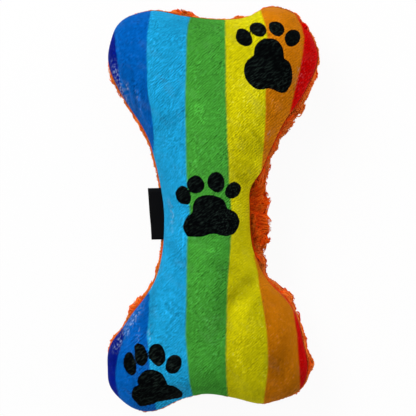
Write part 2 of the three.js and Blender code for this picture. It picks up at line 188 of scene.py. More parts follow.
# %% [markdown]
# ## The camera
# The camera comes early because the print is measured on the photograph and carried on to the cloth through
# it. The toy's left limb hides its seam while the plush shows widely at the right of the waist, so the
# camera looks down from a little to the right, and from far off, as a product photograph is taken. Through it
# the edge is then let out or taken in by a few millimetres where sewn cloth strays from its pattern.

# %% Aim the camera
PHOTO_SIDE = 416
PIXEL = 0.77 * MM
CAMERA_TILT_RIGHT = math.tan(math.radians(12))
CAMERA_TILT_UP = math.tan(math.radians(4))
CAMERA_DISTANCE = 1.3
SENSOR = 36
AIM_RIGHT = -2.3 * MM
AIM_UP = 0.9 * MM

camera_data = bpy.data.cameras.new("photo_camera")
camera_data.sensor_width = SENSOR
camera_data.lens = SENSOR * CAMERA_DISTANCE / (PHOTO_SIDE * PIXEL)
camera = bpy.data.objects.new("photo_camera", camera_data)
bpy.context.scene.collection.objects.link(camera)
bpy.context.scene.camera = camera
camera_back = Vector((CAMERA_TILT_RIGHT, CAMERA_TILT_UP, 1)).normalized()
camera_right = Vector((0, 1, 0)).cross(camera_back).normalized()
camera_turn = Matrix((camera_right, camera_back.cross(camera_right), camera_back)).transposed()
camera.location = Vector((TOY_X + AIM_RIGHT, TOY_Y + AIM_UP, SEAM_HEIGHT)) + camera_back * CAMERA_DISTANCE
camera.rotation_euler = camera_turn.to_euler()


def photo_places(places):
    """Pixels across and down at which the camera sees places in the model"""
    seen = (places - np.array(camera.location)) @ np.array(camera_turn)
    scale = camera_data.lens / SENSOR * PHOTO_SIDE / -seen[..., 2]
    return np.stack([PHOTO_SIDE / 2 + seen[..., 0] * scale, PHOTO_SIDE / 2 - seen[..., 1] * scale], axis=-1)


print("lens, mm:", round(camera_data.lens, 1))

# %% Let the cloth out and take it in
EDGE_LETS = [
    (120, 399, 3.6), (132, 407, 4.2), (144, 411, 4.0), (158, 409, 4.2), (175, 400, 3.2), (190, 395, 2.6),
    (207, 392, 1.8), (230, 395, 0.9), (259, 403, 0.2), (275, 402, -1.0), (286, 397, -1.0), (300, 386, 0.8),
    (308, 368, 0.2), (305, 350, -1.4), (303, 340, -1.0), (300, 330, 0.6), (293, 316, 2.2), (289, 307, 2.2),
    (283, 294, 0.6), (276, 286, -2.0), (270, 278, -3.2), (264, 270, -1.8), (258, 262, 0.2), (254, 250, 0),
    (250, 228, 0), (250, 204, -0.8), (250, 194, -2.6), (252, 186, -3.0), (256, 178, 0.2), (259, 171, 3.2),
    (262, 162, 2.6), (270, 143, 2.0), (276, 133, 1.4), (284, 121, 0), (300, 95, 0.3), (312, 74, 0.2),
    (316, 52, 0.4), (315, 44, -0.6), (312, 34, -1.0), (306, 24, -3.0), (298, 14, -1.8), (286, 8, -2.2),
    (270, 6, -0.8), (254, 12, -1.0), (240, 18, -0.6), (206, 19, 0.2), (150, 11, 0), (126, 16, 0.1),
    (116, 25, -1.4), (110, 36, -2.0), (107, 48, -0.8), (108, 60, 0.6), (112, 74, 1.2), (120, 92, 0.6),
    (135, 115, 0.4), (157, 158, 0.6), (165, 215, 0), (162, 255, 0.2), (140, 303, 0), (127, 320, 0.4),
    (121, 329, -0.9), (115, 337, -0.4), (109, 352, 0.8), (107, 368, 0.8), (109, 380, 3.0), (112, 389, 3.8),
]
EDGE_SMOOTHINGS = 3
edge_pixels = photo_places(toy_places(edge_line, 0))


def around_edge(table):
    """A number for each point of the edge from rows of (across, down, number), by the way along the edge"""
    nearest = [np.linalg.norm(edge_pixels - row[:2], axis=1).argmin() for row in table]
    knots = np.array(sorted((edge_reach[k], row[2]) for k, row in zip(nearest, table)))
    values = np.interp(edge_reach[:-1], knots[:, 0], knots[:, 1], period=edge_reach[-1])
    for _ in range(EDGE_SMOOTHINGS):
        values = (np.roll(values, 1) + values + np.roll(values, -1)) / 3
    return values


let_out = around_edge(EDGE_LETS)
edge_line = edge_line + edge_normal * let_out[:, None]
edge_normal = outward_normals(edge_line)
edge_places = toy_places(edge_line, 0)
print("edge let out, mm:", round(let_out.min(), 1), "to", round(let_out.max(), 1))

# %% [markdown]
# ## Nets and the stuffed swell
# A net of points fills the outline from side to side, so a flat grid of cloth can be laid on it. Over the
# net the stuffing swells the cloth: nothing at the seam, steep beside it, and level in the middle. Each point
# feels the whole edge at once, so the dome has no creases where the nearest edge changes.

# %% Lay a net in the outline
NET_CROWDING = 0.85
side_starts = np.cumsum([0] + [len(EDGE_SHARES[name]) * SPAN_SAMPLES for name in SIDE_NAMES])


def side_points(name, shares):
    """Points at shares of one side's length"""
    k = SIDE_NAMES.index(name)
    points = edge_line[np.arange(side_starts[k], side_starts[k + 1] + 1) % len(edge_line)]
    reach = run_along(points)
    return np.stack([np.interp(shares * reach[-1], reach, points[:, axis]) for axis in (0, 1)], axis=-1)


def crowded_shares(count):
    """Shares from 0 to 1, closer together towards both ends, where the swell is steep"""
    even = np.linspace(0, 1, count + 1)
    return even + ((1 - np.cos(np.pi * even)) / 2 - even) * NET_CROWDING


def lay_net(across, along):
    """Rows of points that fill the outline from side to side"""
    u, v = crowded_shares(across), crowded_shares(along)
    bottom, top = side_points("bottom", u)[None], side_points("top", 1 - u)[None]
    left, right = side_points("left", 1 - v)[:, None], side_points("right", v)[:, None]
    u, v = u[None, :, None], v[:, None, None]
    net = bottom * (1 - v) + top * v + left * (1 - u) + right * u
    net -= bottom[:, :1] * (1 - u) * (1 - v) + bottom[:, -1:] * u * (1 - v)
    net -= top[:, -1:] * u * v + top[:, :1] * (1 - u) * v
    return net


# %% Swell the net into a sheet of mesh
SWELL_REACH = 33
SWELL_POWER = 0.55
RIM_EVERY = 3
CHUNK = 2000
SEAM_GAP = 0.15
TURNED_IN = (1.2, 8.4)


def edge_nearness(points):
    """Millimetres from points to the whole edge at once, blended over all its stretches"""
    rim = edge_line[::RIM_EVERY]
    heading = np.roll(rim, -1, axis=0) - rim
    length = np.linalg.norm(heading, axis=1)
    heading /= length[:, None]
    found = []
    for first in range(0, len(points), CHUNK):
        offset = rim[None] - points[first:first + CHUNK, None]
        near = dots(offset, heading)
        far = near + length
        away = np.maximum((offset[..., 0] * heading[:, 1] - offset[..., 1] * heading[:, 0]) ** 2, 1e-9)
        pull = (far / np.sqrt(far ** 2 + away) - near / np.sqrt(near ** 2 + away)) / away
        found.append(np.sqrt(2 / pull.sum(1)))
    return np.concatenate(found)


def swollen_sheet(across, along, crown):
    """A domed sheet of faces over the seam, outside out, or a bowl under it if the crown is negative"""
    net = lay_net(across, along)
    inner = net[1:-1, 1:-1]
    depth = np.clip(edge_nearness(inner.reshape(-1, 2)) / SWELL_REACH, 0, 1).reshape(inner.shape[:2])
    swell = np.zeros(net.shape[:2])
    swell[1:-1, 1:-1] = (1 - (1 - depth) ** 2) ** SWELL_POWER
    places = toy_places(net, math.copysign(SEAM_GAP, crown) + crown * swell)
    bm = bmesh.new()
    bmesh.ops.create_grid(bm, x_segments=across, y_segments=along, size=1)
    for vert in bm.verts:
        vert.co = places[round((vert.co.y + 1) / 2 * along)][round((vert.co.x + 1) / 2 * across)]
    bmesh.ops.recalc_face_normals(bm, faces=bm.faces)
    if sum(face.normal.z for face in bm.faces) * crown < 0:
        bmesh.ops.reverse_faces(bm, faces=bm.faces)
    return bm


def turn_in_edge(bm, height):
    """Rows of faces from an open rim inward, flat along the seam, as a sewn edge is turned in"""
    for inset in TURNED_IN:
        rim_edges = [edge for edge in bm.edges if edge.is_boundary]
        made = bmesh.ops.extrude_edge_only(bm, edges=rim_edges)
        for vert in (item for item in made["geom"] if isinstance(item, bmesh.types.BMVert)):
            nearest = int(np.argmin(((edge_places[:, :2] - vert.co.xy) ** 2).sum(1)))
            vert.co.xy = edge_places[nearest, :2] - edge_normal[nearest] * inset * MM
            vert.co.z = SEAM_HEIGHT + height * MM


# %% Small helpers for meshes
def finished_object(bm, name):
    """A bmesh as an object at the origin, smooth shaded"""
    mesh = bpy.data.meshes.new(name)
    bm.to_mesh(mesh)
    bm.free()
    mesh.shade_smooth()
    piece = bpy.data.objects.new(name, mesh)
    bpy.context.scene.collection.objects.link(piece)
    return piece


def append_copy(bm, other):
    """Adds all of one bmesh to another, and frees the one"""
    mesh = bpy.data.meshes.new("copy")
    other.to_mesh(mesh)
    other.free()
    bm.from_mesh(mesh)
    bpy.data.meshes.remove(mesh)


def mesh_places(piece):
    """A piece's vertex places as an array"""
    places = np.empty(len(piece.data.vertices) * 3)
    piece.data.vertices.foreach_get("co", places)
    return places.reshape(-1, 3)


def mesh_normals(piece):
    """A piece's vertex normals as an array"""
    normals = np.empty(len(piece.data.vertices) * 3, np.float32)
    piece.data.vertex_normals.foreach_get("vector", normals)
    return normals.reshape(-1, 3).astype(float)


def move_vertices(piece, places):
    """Puts a piece's vertices at new places"""
    piece.data.vertices.foreach_set("co", np.asarray(places, np.float32).ravel())
    piece.data.update()


def push_out(piece, distances):
    """Moves a piece's vertices along their normals by distances in millimetres"""
    move_vertices(piece, mesh_places(piece) + mesh_normals(piece) * (distances * MM)[:, None])


def bake_modifier(piece, kind, **settings):
    """Replaces a piece's mesh by what one modifier makes of it"""
    modifier = piece.modifiers.new(kind.lower(), kind)
    for key, value in settings.items():
        setattr(modifier, key, value)
    graph = bpy.context.evaluated_depsgraph_get()
    baked = bpy.data.meshes.new_from_object(piece.evaluated_get(graph), depsgraph=graph)
    piece.modifiers.clear()
    old = piece.data
    piece.data = baked
    baked.name = piece.name
    bpy.data.meshes.remove(old)


def store_numbers(piece, name, values):
    """One number for each vertex, which a material reads by its name"""
    attribute = piece.data.attributes.new(name, "FLOAT", "POINT")
    attribute.data.foreach_set("value", np.asarray(values, np.float32))


# %% [markdown]
# ## The velour front, swollen by its stuffing
# On the real toy a flat printed cloth is sewn to a flat plush one and then stuffed, so it strains over the
# fibre and puckers where the outline curves inward. A dome from the net gives the size, and a cloth
# simulation with pressure under it then finds the soft dents of slack velour. The sewn edge is pinned.

# %% Lay out the front and its turned-in edge
FRONT_CROWN = 34.6
FRONT_FACES = (36, 66)
VELOUR = 1.6
front_bm = swollen_sheet(*FRONT_FACES, FRONT_CROWN)
turn_in_edge(front_bm, SEAM_GAP)
front_panel = finished_object(front_bm, "front_panel")
print("front panel, faces before the simulation:", len(front_panel.data.polygons))

# %% Press the stuffing against the cloth
SETTLE_FRAMES = 20
OUTWARD_CAP = 1.5
INWARD_CAP = 1.2
PINNED_BELOW = 0.25
CLOTH_SETTINGS = {
    "quality": 6, "mass": 0.15, "tension_stiffness": 30, "compression_stiffness": 30, "shear_stiffness": 8,
    "bending_stiffness": 0.4, "use_pressure": True, "uniform_pressure_force": 4, "shrink_min": -0.03,
}


def settle_cloth(piece, pinned):
    """Runs a cloth simulation with pressure and no gravity, and returns how far each vertex moved"""
    before = mesh_places(piece)
    group = piece.vertex_groups.new(name="sewn_edge")
    group.add([int(index) for index in pinned], 1.0, "ADD")
    cloth = piece.modifiers.new("stuffing", "CLOTH")
    for key, value in CLOTH_SETTINGS.items():
        setattr(cloth.settings, key, value)
    cloth.settings.vertex_group_mass = group.name
    cloth.settings.effector_weights.gravity = 0
    cloth.point_cache.frame_end = SETTLE_FRAMES
    for frame_number in range(1, SETTLE_FRAMES + 1):
        bpy.context.scene.frame_set(frame_number)
    after = mesh_places(piece.evaluated_get(bpy.context.evaluated_depsgraph_get()))
    piece.modifiers.remove(cloth)
    piece.vertex_groups.remove(group)
    bpy.context.scene.frame_set(1)
    return after - before


low_edge = np.flatnonzero(mesh_places(front_panel)[:, 2] < SEAM_HEIGHT + PINNED_BELOW * MM)
drift = settle_cloth(front_panel, low_edge)
outward = np.clip(dots(drift, mesh_normals(front_panel)) / MM, -INWARD_CAP, OUTWARD_CAP)
push_out(front_panel, outward)
print("cloth moved, mm:", round(outward.min(), 2), "to", round(outward.max(), 2))

bake_modifier(front_panel, "SUBSURF", levels=2, render_levels=2)
print("front panel, faces:", len(front_panel.data.polygons))

# %% [markdown]
# ## Folds that the photograph shows
# The camera says where each point of the cloth is seen, so a soft dent or ridge can be drawn along a line of
# pixels. Each stroke moves the cloth along its own normal, and fades across its width and at its ends.

# %% Press the folds into the velour
FOLDS = [
    ([(143, 84), (146, 102), (149, 122)], 2.8, -2.0),
    ([(131, 78), (133, 93), (136, 110)], 3.2, 1.5),
    ([(126, 84), (128, 97), (132, 108)], 2.4, -1.2),
    ([(150, 140), (166, 126), (186, 112)], 7.0, -1.4),
    ([(190, 96), (198, 112), (212, 128)], 9.0, 1.3),
    ([(247, 124), (252, 131), (259, 146)], 3.0, -1.8),
    ([(240, 130), (246, 140), (250, 152)], 5.0, -1.0),
    ([(246, 158), (252, 163), (259, 169)], 3.0, 1.0),
    ([(236, 174), (244, 181), (250, 188)], 4.0, -1.4),
    ([(254, 146), (257, 158), (258, 170)], 4.5, 1.2),
    ([(270, 290), (250, 304), (238, 340)], 7.0, 0.8),
    ([(264, 272), (244, 282), (226, 306)], 6.0, -1.3),
    ([(228, 264), (238, 271), (250, 270)], 4.0, -0.8),
    ([(231, 290), (229, 330), (228, 388)], 8.0, -1.1),
    ([(280, 344), (270, 368), (256, 388)], 12.0, -0.9),
    ([(151, 286), (150, 310), (149, 336)], 4.5, -1.8),
    ([(140, 296), (134, 315), (130, 334)], 5.0, 1.2),
    ([(124, 316), (120, 332), (117, 350)], 4.0, -1.0),
    ([(160, 236), (172, 250), (180, 268)], 6.0, -1.3),
    ([(188, 246), (200, 252), (214, 250)], 5.0, 0.9),
    ([(240, 226), (244, 244), (243, 262)], 6.0, -1.0),
]
FOLDS_FROM = 4
FOLDS_FULL = 12
END_FADE = 0.6


def stroke_weights(pixels, line, width):
    """1 on a line of pixels, fading to 0 over a width across it and towards its two ends"""
    line = np.array(line, float)
    best = np.full(len(pixels), np.inf)
    place = np.zeros(len(pixels))
    run = run_along(line)
    for start, end, before, after in zip(line[:-1], line[1:], run[:-1], run[1:]):
        share = np.clip(((pixels - start) @ (end - start)) / (after - before) ** 2, 0, 1)
        away = np.linalg.norm(pixels - start - share[:, None] * (end - start), axis=1)
        nearer = away < best
        place[nearer] = (before + share[nearer] * (after - before)) / run[-1]
        best = np.minimum(best, away)
    return np.exp(-(best / width) ** 2) * np.sin(np.pi * (place * 0.9 + 0.05)) ** END_FADE


def add_strokes(pixels, strokes):
    """The sum of strokes of (line, width, strength) at each point"""
    return sum(stroke_weights(pixels, line, width) * strength for line, width, strength in strokes)


above_seam = (mesh_places(front_panel)[:, 2] - SEAM_HEIGHT) / MM
lift = add_strokes(photo_places(mesh_places(front_panel)), FOLDS)
lift *= np.clip((above_seam - FOLDS_FROM) / (FOLDS_FULL - FOLDS_FROM), 0, 1)
push_out(front_panel, lift)
print("folds, mm:", round(lift.min(), 2), "to", round(lift.max(), 2))

# %% [markdown]
# ## The print
# The stripes were printed on the flat cloth, so they narrow where it curves away. Their six borders were
# measured on the photograph, row by row. Every point of the velour looks up where it lies among them and
# keeps one number, 0 to 7, for the material. A second number is the distance to the nearest paw print, and
# is negative inside it. Both stay on the cloth from any side.

# %% Borders of the stripes, pixels across at rows of pixels
STRIPE_BORDERS = np.array([
    (0, 111, 152, 191, 225, 259, 292), (12, 112, 151, 190.5, 225, 261, 295),
    (18, 112.5, 149.8, 190, 225.2, 263, 297.5), (25, 113.3, 148.6, 187.7, 225.4, 265.4, 301.2),
    (37, 114.8, 147, 186.5, 225.6, 267.3, 304.2), (53, 116.6, 146.7, 186.1, 225.8, 267, 302.8),
    (69, 118.4, 147, 185.7, 226, 266.5, 300), (85, 120.5, 147.4, 185.3, 226, 266, 296),
    (97, 125.5, 148.2, 185, 226, 265.5, 293.3), (109, 129, 151, 185, 226.6, 265.8, 290.5),
    (125, 131, 153, 185.3, 227.4, 265.3, 288), (140, 130, 154, 185.5, 227.5, 264.3, 287),
    (159, 128, 153, 185.8, 228.8, 262.5, 287), (176, 124, 151, 186.2, 229.4, 261, 288),
    (200, 120, 150, 188.5, 231, 262, 290), (212, 120, 150, 189.6, 231.2, 262, 290),
    (240, 118, 150, 187, 231.2, 260, 291), (256, 116, 149.5, 186.5, 230.2, 253.6, 292),
    (272, 115, 149, 186.3, 228.8, 257.7, 291.5), (285, 115, 148.5, 186.2, 227.9, 259, 291),
    (296, 116, 149.5, 186, 227.5, 261, 291), (310, 119, 149, 185.8, 227, 263.5, 293),
    (320, 122, 148.5, 185.5, 227, 265, 294.5), (335, 124.4, 146.8, 185.2, 226.5, 267, 297),
    (353, 118.9, 148.6, 186.8, 226, 268, 298), (365, 116.4, 149.5, 187.8, 226.2, 268, 299),
    (374, 115.6, 150.5, 188.5, 226.5, 267.5, 299.5), (384, 116.2, 152, 189.6, 227, 266, 300),
    (394, 118.5, 153.8, 192.2, 228, 264.5, 300), (404, 121, 155.5, 194, 229, 263.5, 300),
    (416, 123, 157, 196, 230, 262.5, 300),
])
OUTER_STRIPE = 35


def stripe_places(pixels):
    """0 to 7 across the seven stripes, a whole number at each border"""
    borders = [np.interp(pixels[:, 1], STRIPE_BORDERS[:, 0], STRIPE_BORDERS[:, k]) for k in range(1, 7)]
    borders = [borders[0] - OUTER_STRIPE, *borders, borders[-1] + OUTER_STRIPE]
    place = np.zeros(len(pixels))
    for left, right in zip(borders[:-1], borders[1:]):
        place += np.clip((pixels[:, 0] - left) / (right - left), 0, 1)
    return place


# %% Outlines of the paw prints, in pixels
PAWS = [
    [(236.1, 36.1), (238.8, 29.4), (243.7, 29.2), (248.6, 32.3), (251.9, 38.9), (251.3, 43.7), (247, 45.9),
     (240.5, 44), (236.9, 39.9)],
    [(249.8, 27.5), (252.4, 23.9), (258.4, 22.9), (262.7, 24.5), (265.7, 28.6), (265.9, 32.3), (263.2, 35.9),
     (258.4, 36.1), (253.5, 33.7), (250.8, 30.7)],
    [(269.2, 26.9), (270, 23.1), (273, 22), (277.9, 22.3), (282.2, 25.3), (284.1, 29.4), (282.7, 33.4),
     (278.9, 36.1), (274.6, 34.8), (270.5, 31.3)],
    [(285, 37.8), (286.8, 33.4), (290.3, 30.7), (294.7, 30.2), (298.5, 32.3), (300, 36.7), (298.5, 41.6),
     (295.2, 44.8), (290.3, 46.2), (287.4, 44.8), (285.5, 41)],
    [(254.3, 54.8), (254.6, 49.7), (257.5, 43.7), (262.7, 39.7), (269.2, 38.8), (275.2, 39.7), (279.5, 43.2),
     (282.2, 48.1), (283.3, 54), (283.8, 58.4), (288.2, 61.6), (290.9, 67), (292, 74.6), (291.1, 82.8),
     (288.7, 87.1), (286.5, 90.9), (282.2, 92.5), (277.9, 91.4), (273.5, 89.3), (268.7, 87.9), (265.4, 88.4),
     (260.5, 89.3), (255.1, 87.9), (250.8, 84.4), (246.4, 79), (244.5, 71.9), (244.8, 66.5), (247, 61.6),
     (250.8, 58.4)],
    [(175.9, 193.1), (177.7, 189), (181.7, 186.2), (185.3, 187.4), (187.9, 190.5), (189.9, 194.6),
     (190.7, 199.2), (188.9, 203.5), (184.8, 204), (180.2, 202.8), (177.1, 198.7)],
    [(187.3, 182.9), (189.9, 178.5), (194.5, 176), (198.6, 176.5), (202.1, 179.8), (204.1, 184.4),
     (203.2, 188.5), (200.1, 191.8), (195.5, 193), (190.9, 191.5), (188.1, 187.4)],
    [(207.7, 182.3), (208.8, 177.2), (212.3, 173.4), (216.9, 172.4), (221, 174.4), (223.6, 178.8),
     (224, 183.9), (223.1, 188.5), (220, 191.5), (215.9, 191.8), (211.8, 189.5), (208.8, 186.4)],
    [(225.3, 193.6), (226.1, 189), (229.7, 184.1), (233.8, 182.4), (238.4, 183.9), (240.6, 187.4),
     (239.4, 192.6), (235.8, 196.6), (230.7, 198.2), (227.1, 196.6)],
    [(193, 212.4), (193.2, 206.8), (195, 201.2), (198.6, 197.7), (205.7, 195.6), (212.3, 195.6), (219, 197.7),
     (223.6, 200.7), (225.9, 205.8), (227.4, 208.9), (231.2, 210.4), (235.8, 213.5), (238.6, 218.6),
     (238.9, 223.7), (236.8, 229.3), (233.3, 233.4), (227.1, 235.7), (221, 234.9), (215.9, 233.6),
     (210.8, 233.6), (205.7, 235.2), (199.6, 236.4), (192.4, 236.4), (187.9, 235.9), (185.3, 232.3),
     (183.3, 226.7), (184.8, 222.1), (187.3, 217)],
    [(123.7, 363.5), (124.7, 357.4), (127.4, 353.2), (130.7, 352.6), (133.2, 356.8), (134.7, 361.7),
     (135.9, 367.1), (135.3, 372.6), (132.3, 375.1), (128.6, 373.2), (125.3, 368.9)],
    [(135, 345.9), (138.3, 343.8), (142.6, 345.3), (145.6, 350.2), (147.1, 356.2), (146.2, 362.3),
     (142.3, 365.6), (138.3, 364.1), (135.6, 359.2), (135.2, 352.6)],
    [(149.1, 353.2), (150.1, 347.7), (153.5, 344.7), (157.7, 344.1), (161.6, 346.5), (164.1, 351.4),
     (165.1, 356.8), (163.8, 362.3), (159.5, 366), (155.9, 364.7), (151.7, 360.5), (149.5, 357.4)],
    [(165.9, 366.5), (168, 359.2), (171.6, 355.9), (175.9, 355.3), (180.1, 357.7), (181.3, 362.9),
     (179.8, 368.3), (176.5, 372.3), (171.6, 373.3), (167.4, 371.4)],
    [(138.9, 385.3), (137.7, 381.7), (139.5, 376.2), (143.8, 371.7), (150.4, 370.1), (157.1, 371.3),
     (161.9, 374.4), (164.7, 378.6), (168, 385.3), (172.2, 385.9), (177.7, 388.9), (181.6, 392.5),
     (182.1, 395.6), (179.5, 397.4), (174.1, 398.3), (165.6, 400.1), (158.3, 401.3), (152.2, 403.8),
     (144.4, 405.6), (140.1, 405.6), (136.5, 402.2), (132.3, 396.8), (132.3, 391.9), (134.7, 387.1)],
]
PAW_SAMPLES = 6
PAW_FADE = 9


def distance_to_loop(pixels, loop):
    """Pixels from each point to a closed line, negative inside it"""
    inside = np.zeros(len(pixels), bool)
    best = np.full(len(pixels), np.inf)
    for start, end in zip(loop, np.roll(loop, -1, axis=0)):
        share = np.clip(((pixels - start) @ (end - start)) / ((end - start) @ (end - start)), 0, 1)
        best = np.minimum(best, np.linalg.norm(pixels - start - share[:, None] * (end - start), axis=1))
        crosses = (start[1] > pixels[:, 1]) != (end[1] > pixels[:, 1])
        rise = end[1] - start[1] if end[1] != start[1] else 1
        side = start[0] + (pixels[:, 1] - start[1]) / rise * (end[0] - start[0])
        inside ^= crosses & (pixels[:, 0] < side)
    return np.where(inside, -best, best)


def paw_distances(pixels):
    """Pixels to the nearest paw print, negative inside one"""
    nearest = np.full(len(pixels), float(PAW_FADE))
    for outline in PAWS:
        loop = smooth_loop(outline, PAW_SAMPLES)
        close = np.all(np.abs(pixels - loop.mean(0)) < np.ptp(loop, axis=0) / 2 + PAW_FADE, axis=1)
        nearest[close] = np.minimum(nearest[close], distance_to_loop(pixels[close], loop))
    return nearest


front_pixels = photo_places(mesh_places(front_panel))
store_numbers(front_panel, "stripe_place", stripe_places(front_pixels))
store_numbers(front_panel, "paw_distance", paw_distances(front_pixels))

# %% [markdown]
# ## Painted light and shade on the velour
# Strokes along lines of pixels give each point two more numbers: painted light and shade, which lighten
# or darken it where folds, dents and ridges are lit or shaded, and how strongly single hairs show a
# painted highlight there.

# %% Paint light, shade and highlights on the velour
# Painted highlights: pale glints of single hairs, mixed into the velour's colour
GLINTS = [
    ([(113, 62), (116, 76), (122, 92), (128, 104)], 2.8, 1.0),
    ([(126, 82), (129, 94)], 1.6, 0.6),
    ([(136, 88), (138, 99), (141, 116)], 1.3, 0.3),
    ([(141, 306), (131, 322), (123, 336), (114, 350)], 3.4, 0.75),
    ([(138, 325), (138, 345)], 1.6, 0.4),
    ([(150, 325), (150, 345)], 1.8, 0.4),
    ([(300, 62), (300, 78), (297, 88)], 3.0, 0.15),
    ([(168, 198), (172, 214), (172, 232)], 1.8, 0.5),
    ([(270, 128), (268, 140)], 2.6, 0.15),
    ([(189, 233), (198, 237)], 1.8, 0.4),
]
glints = [stroke_weights(front_pixels, line, width) * strength for line, width, strength in GLINTS]
store_numbers(front_panel, "glint", np.max(glints, axis=0))
# Painted light and shade: strokes that darken shaded dents and folds of the velour and lighten lit ones
PAINTED_LIGHT_AND_SHADE = [
    ([(212, 262), (224, 268), (240, 276)], 8.0, -0.18),
    ([(220, 270), (219, 300), (218, 335)], 6.0, -0.16),
    ([(230, 300), (229, 340), (228, 384)], 7.0, -0.05),
    ([(260, 274), (246, 281), (232, 294)], 4.0, -0.08),
    ([(258, 280), (243, 292), (234, 312), (232, 335)], 4.5, 0.1),
    ([(264, 292), (253, 308), (247, 324)], 6.0, -0.14),
    ([(226, 84), (227, 102), (227, 120)], 4.0, -0.08),
    ([(250, 336), (247, 356), (246, 380)], 9.0, -0.14),
    ([(284, 345), (274, 368), (262, 380)], 14.0, -0.18),
    ([(222, 360), (232, 372), (240, 378)], 8.0, -0.12),
    ([(260, 300), (263, 322), (262, 345)], 10.0, -0.16),
    ([(304, 368), (296, 388), (280, 400)], 8.0, -0.18),
    ([(140, 20), (200, 27), (250, 26)], 14.0, -0.14),
    ([(196, 92), (194, 112), (192, 132)], 7.0, 0.1),
    ([(240, 128), (256, 132), (276, 126)], 9.0, 0.08),
    ([(244, 148), (256, 150), (266, 148)], 6.0, -0.1),
    ([(194, 246), (196, 268), (195, 290)], 7.0, 0.06),
    ([(206, 296), (207, 320), (206, 345)], 9.0, -0.08),
    ([(108, 46), (180, 44), (250, 48)], 26.0, -0.07),
    ([(284, 292), (285, 330), (288, 372)], 9.0, -0.09),
    ([(248, 272), (246, 290), (240, 300)], 7.0, -0.08),
    ([(150, 296), (146, 316), (140, 332)], 9.0, -0.08),
    ([(108, 376), (116, 394), (134, 408)], 8.0, 0.3),
    ([(141, 80), (145, 98), (148, 122)], 2.8, 0.05),
    ([(134, 92), (136, 104), (138, 116)], 1.2, -0.14),
    ([(138, 92), (140, 104), (143, 118)], 1.2, 0.15),
    ([(141, 86), (143, 104), (146, 120)], 1.2, -0.12),
    ([(231, 280), (233, 300)], 6.0, -0.09),
    ([(229, 236), (231, 258)], 6.0, -0.07),
    ([(245, 300), (236, 320), (231, 345)], 3.0, 0.06),
    ([(265, 100), (285, 110)], 9.0, 0.05),
    ([(249, 118), (251, 138)], 4.0, 0.07),
    ([(163, 200), (166, 240)], 4.0, 0.05),
    ([(278, 360), (283, 390)], 8.0, -0.06),
    ([(190, 372), (194, 388)], 6.0, 0.07),
    ([(240, 385), (246, 398)], 5.0, 0.06),
    ([(114, 62), (116, 76)], 3.0, 0.12),
    ([(255, 335), (275, 360), (288, 392)], 15.0, -0.05),
    ([(163, 100), (168, 122)], 8.0, -0.05),
    ([(163, 280), (164, 300)], 7.0, -0.04),
    ([(157, 334), (154, 342)], 2.5, 0.1),
    ([(172, 380), (186, 378)], 5.0, 0.05),
    ([(196, 256), (206, 253), (216, 245)], 1.6, 0.14),
    ([(198, 262), (210, 257)], 1.4, 0.1),
    ([(132, 312), (131, 334)], 5.0, -0.08),
    ([(250, 287), (241, 295), (229, 304)], 6.0, -0.18),
    ([(258, 280), (248, 288)], 4.5, -0.16),
    ([(131, 68), (133, 90), (138, 110)], 2.2, -0.16),
    ([(253, 130), (258, 137), (262, 146)], 1.7, -0.16),
    ([(262, 124), (264, 133), (264, 143)], 1.6, 0.1),
    ([(121, 66), (124, 80), (128, 92)], 2.0, -0.14),
    ([(112, 62), (116, 76), (128, 98)], 4.0, 0.14),
    ([(306, 88), (290, 117), (276, 142), (262, 172)], 5.0, 0.14),
    ([(212, 330), (214, 352), (213, 385)], 7.0, -0.06),
]
SHADE_IN_FOLDS = 0.06
LIGHT_AT_SEAM = 0.3
SEAM_LIGHT_FADE = 2.5
# Painted shade in the folds, darker in dents and lighter on ridges, and painted light along the seam
nap_lay = lift * SHADE_IN_FOLDS + LIGHT_AT_SEAM * np.exp(-np.maximum(above_seam, 0) / SEAM_LIGHT_FADE)
nap_lay += add_strokes(front_pixels, PAINTED_LIGHT_AND_SHADE)
store_numbers(front_panel, "nap_lay", nap_lay)
print("nap shading:", round(nap_lay.min(), 2), "to", round(nap_lay.max(), 2))

bake_modifier(front_panel, "SOLIDIFY", thickness=VELOUR * MM, offset=-1)
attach(front_panel, "stuffed_bone")
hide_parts("front_cover")
print("front panel, faces with thickness:", len(front_panel.data.polygons))

# %% [markdown]
# ## Velour
# Velour is a short brushed pile. Its hairs lie one way, so fine light and dark streaks run up to the right,
# and soft patches show where a hand has brushed it. The streaks come from noise stretched along that
# direction, in the object's own coordinates. Sheen gives the pale bloom of the pile at grazing angles.

# %% Small helpers for node materials
def screen_colour(red, green, blue):
    """The linear colour of one measured on the photograph, 0 to 255"""
    shares = [part / 255 for part in (red, green, blue)]
    return (*[s / 12.92 if s < 0.04045 else ((s + 0.055) / 1.055) ** 2.4 for s in shares], 1)


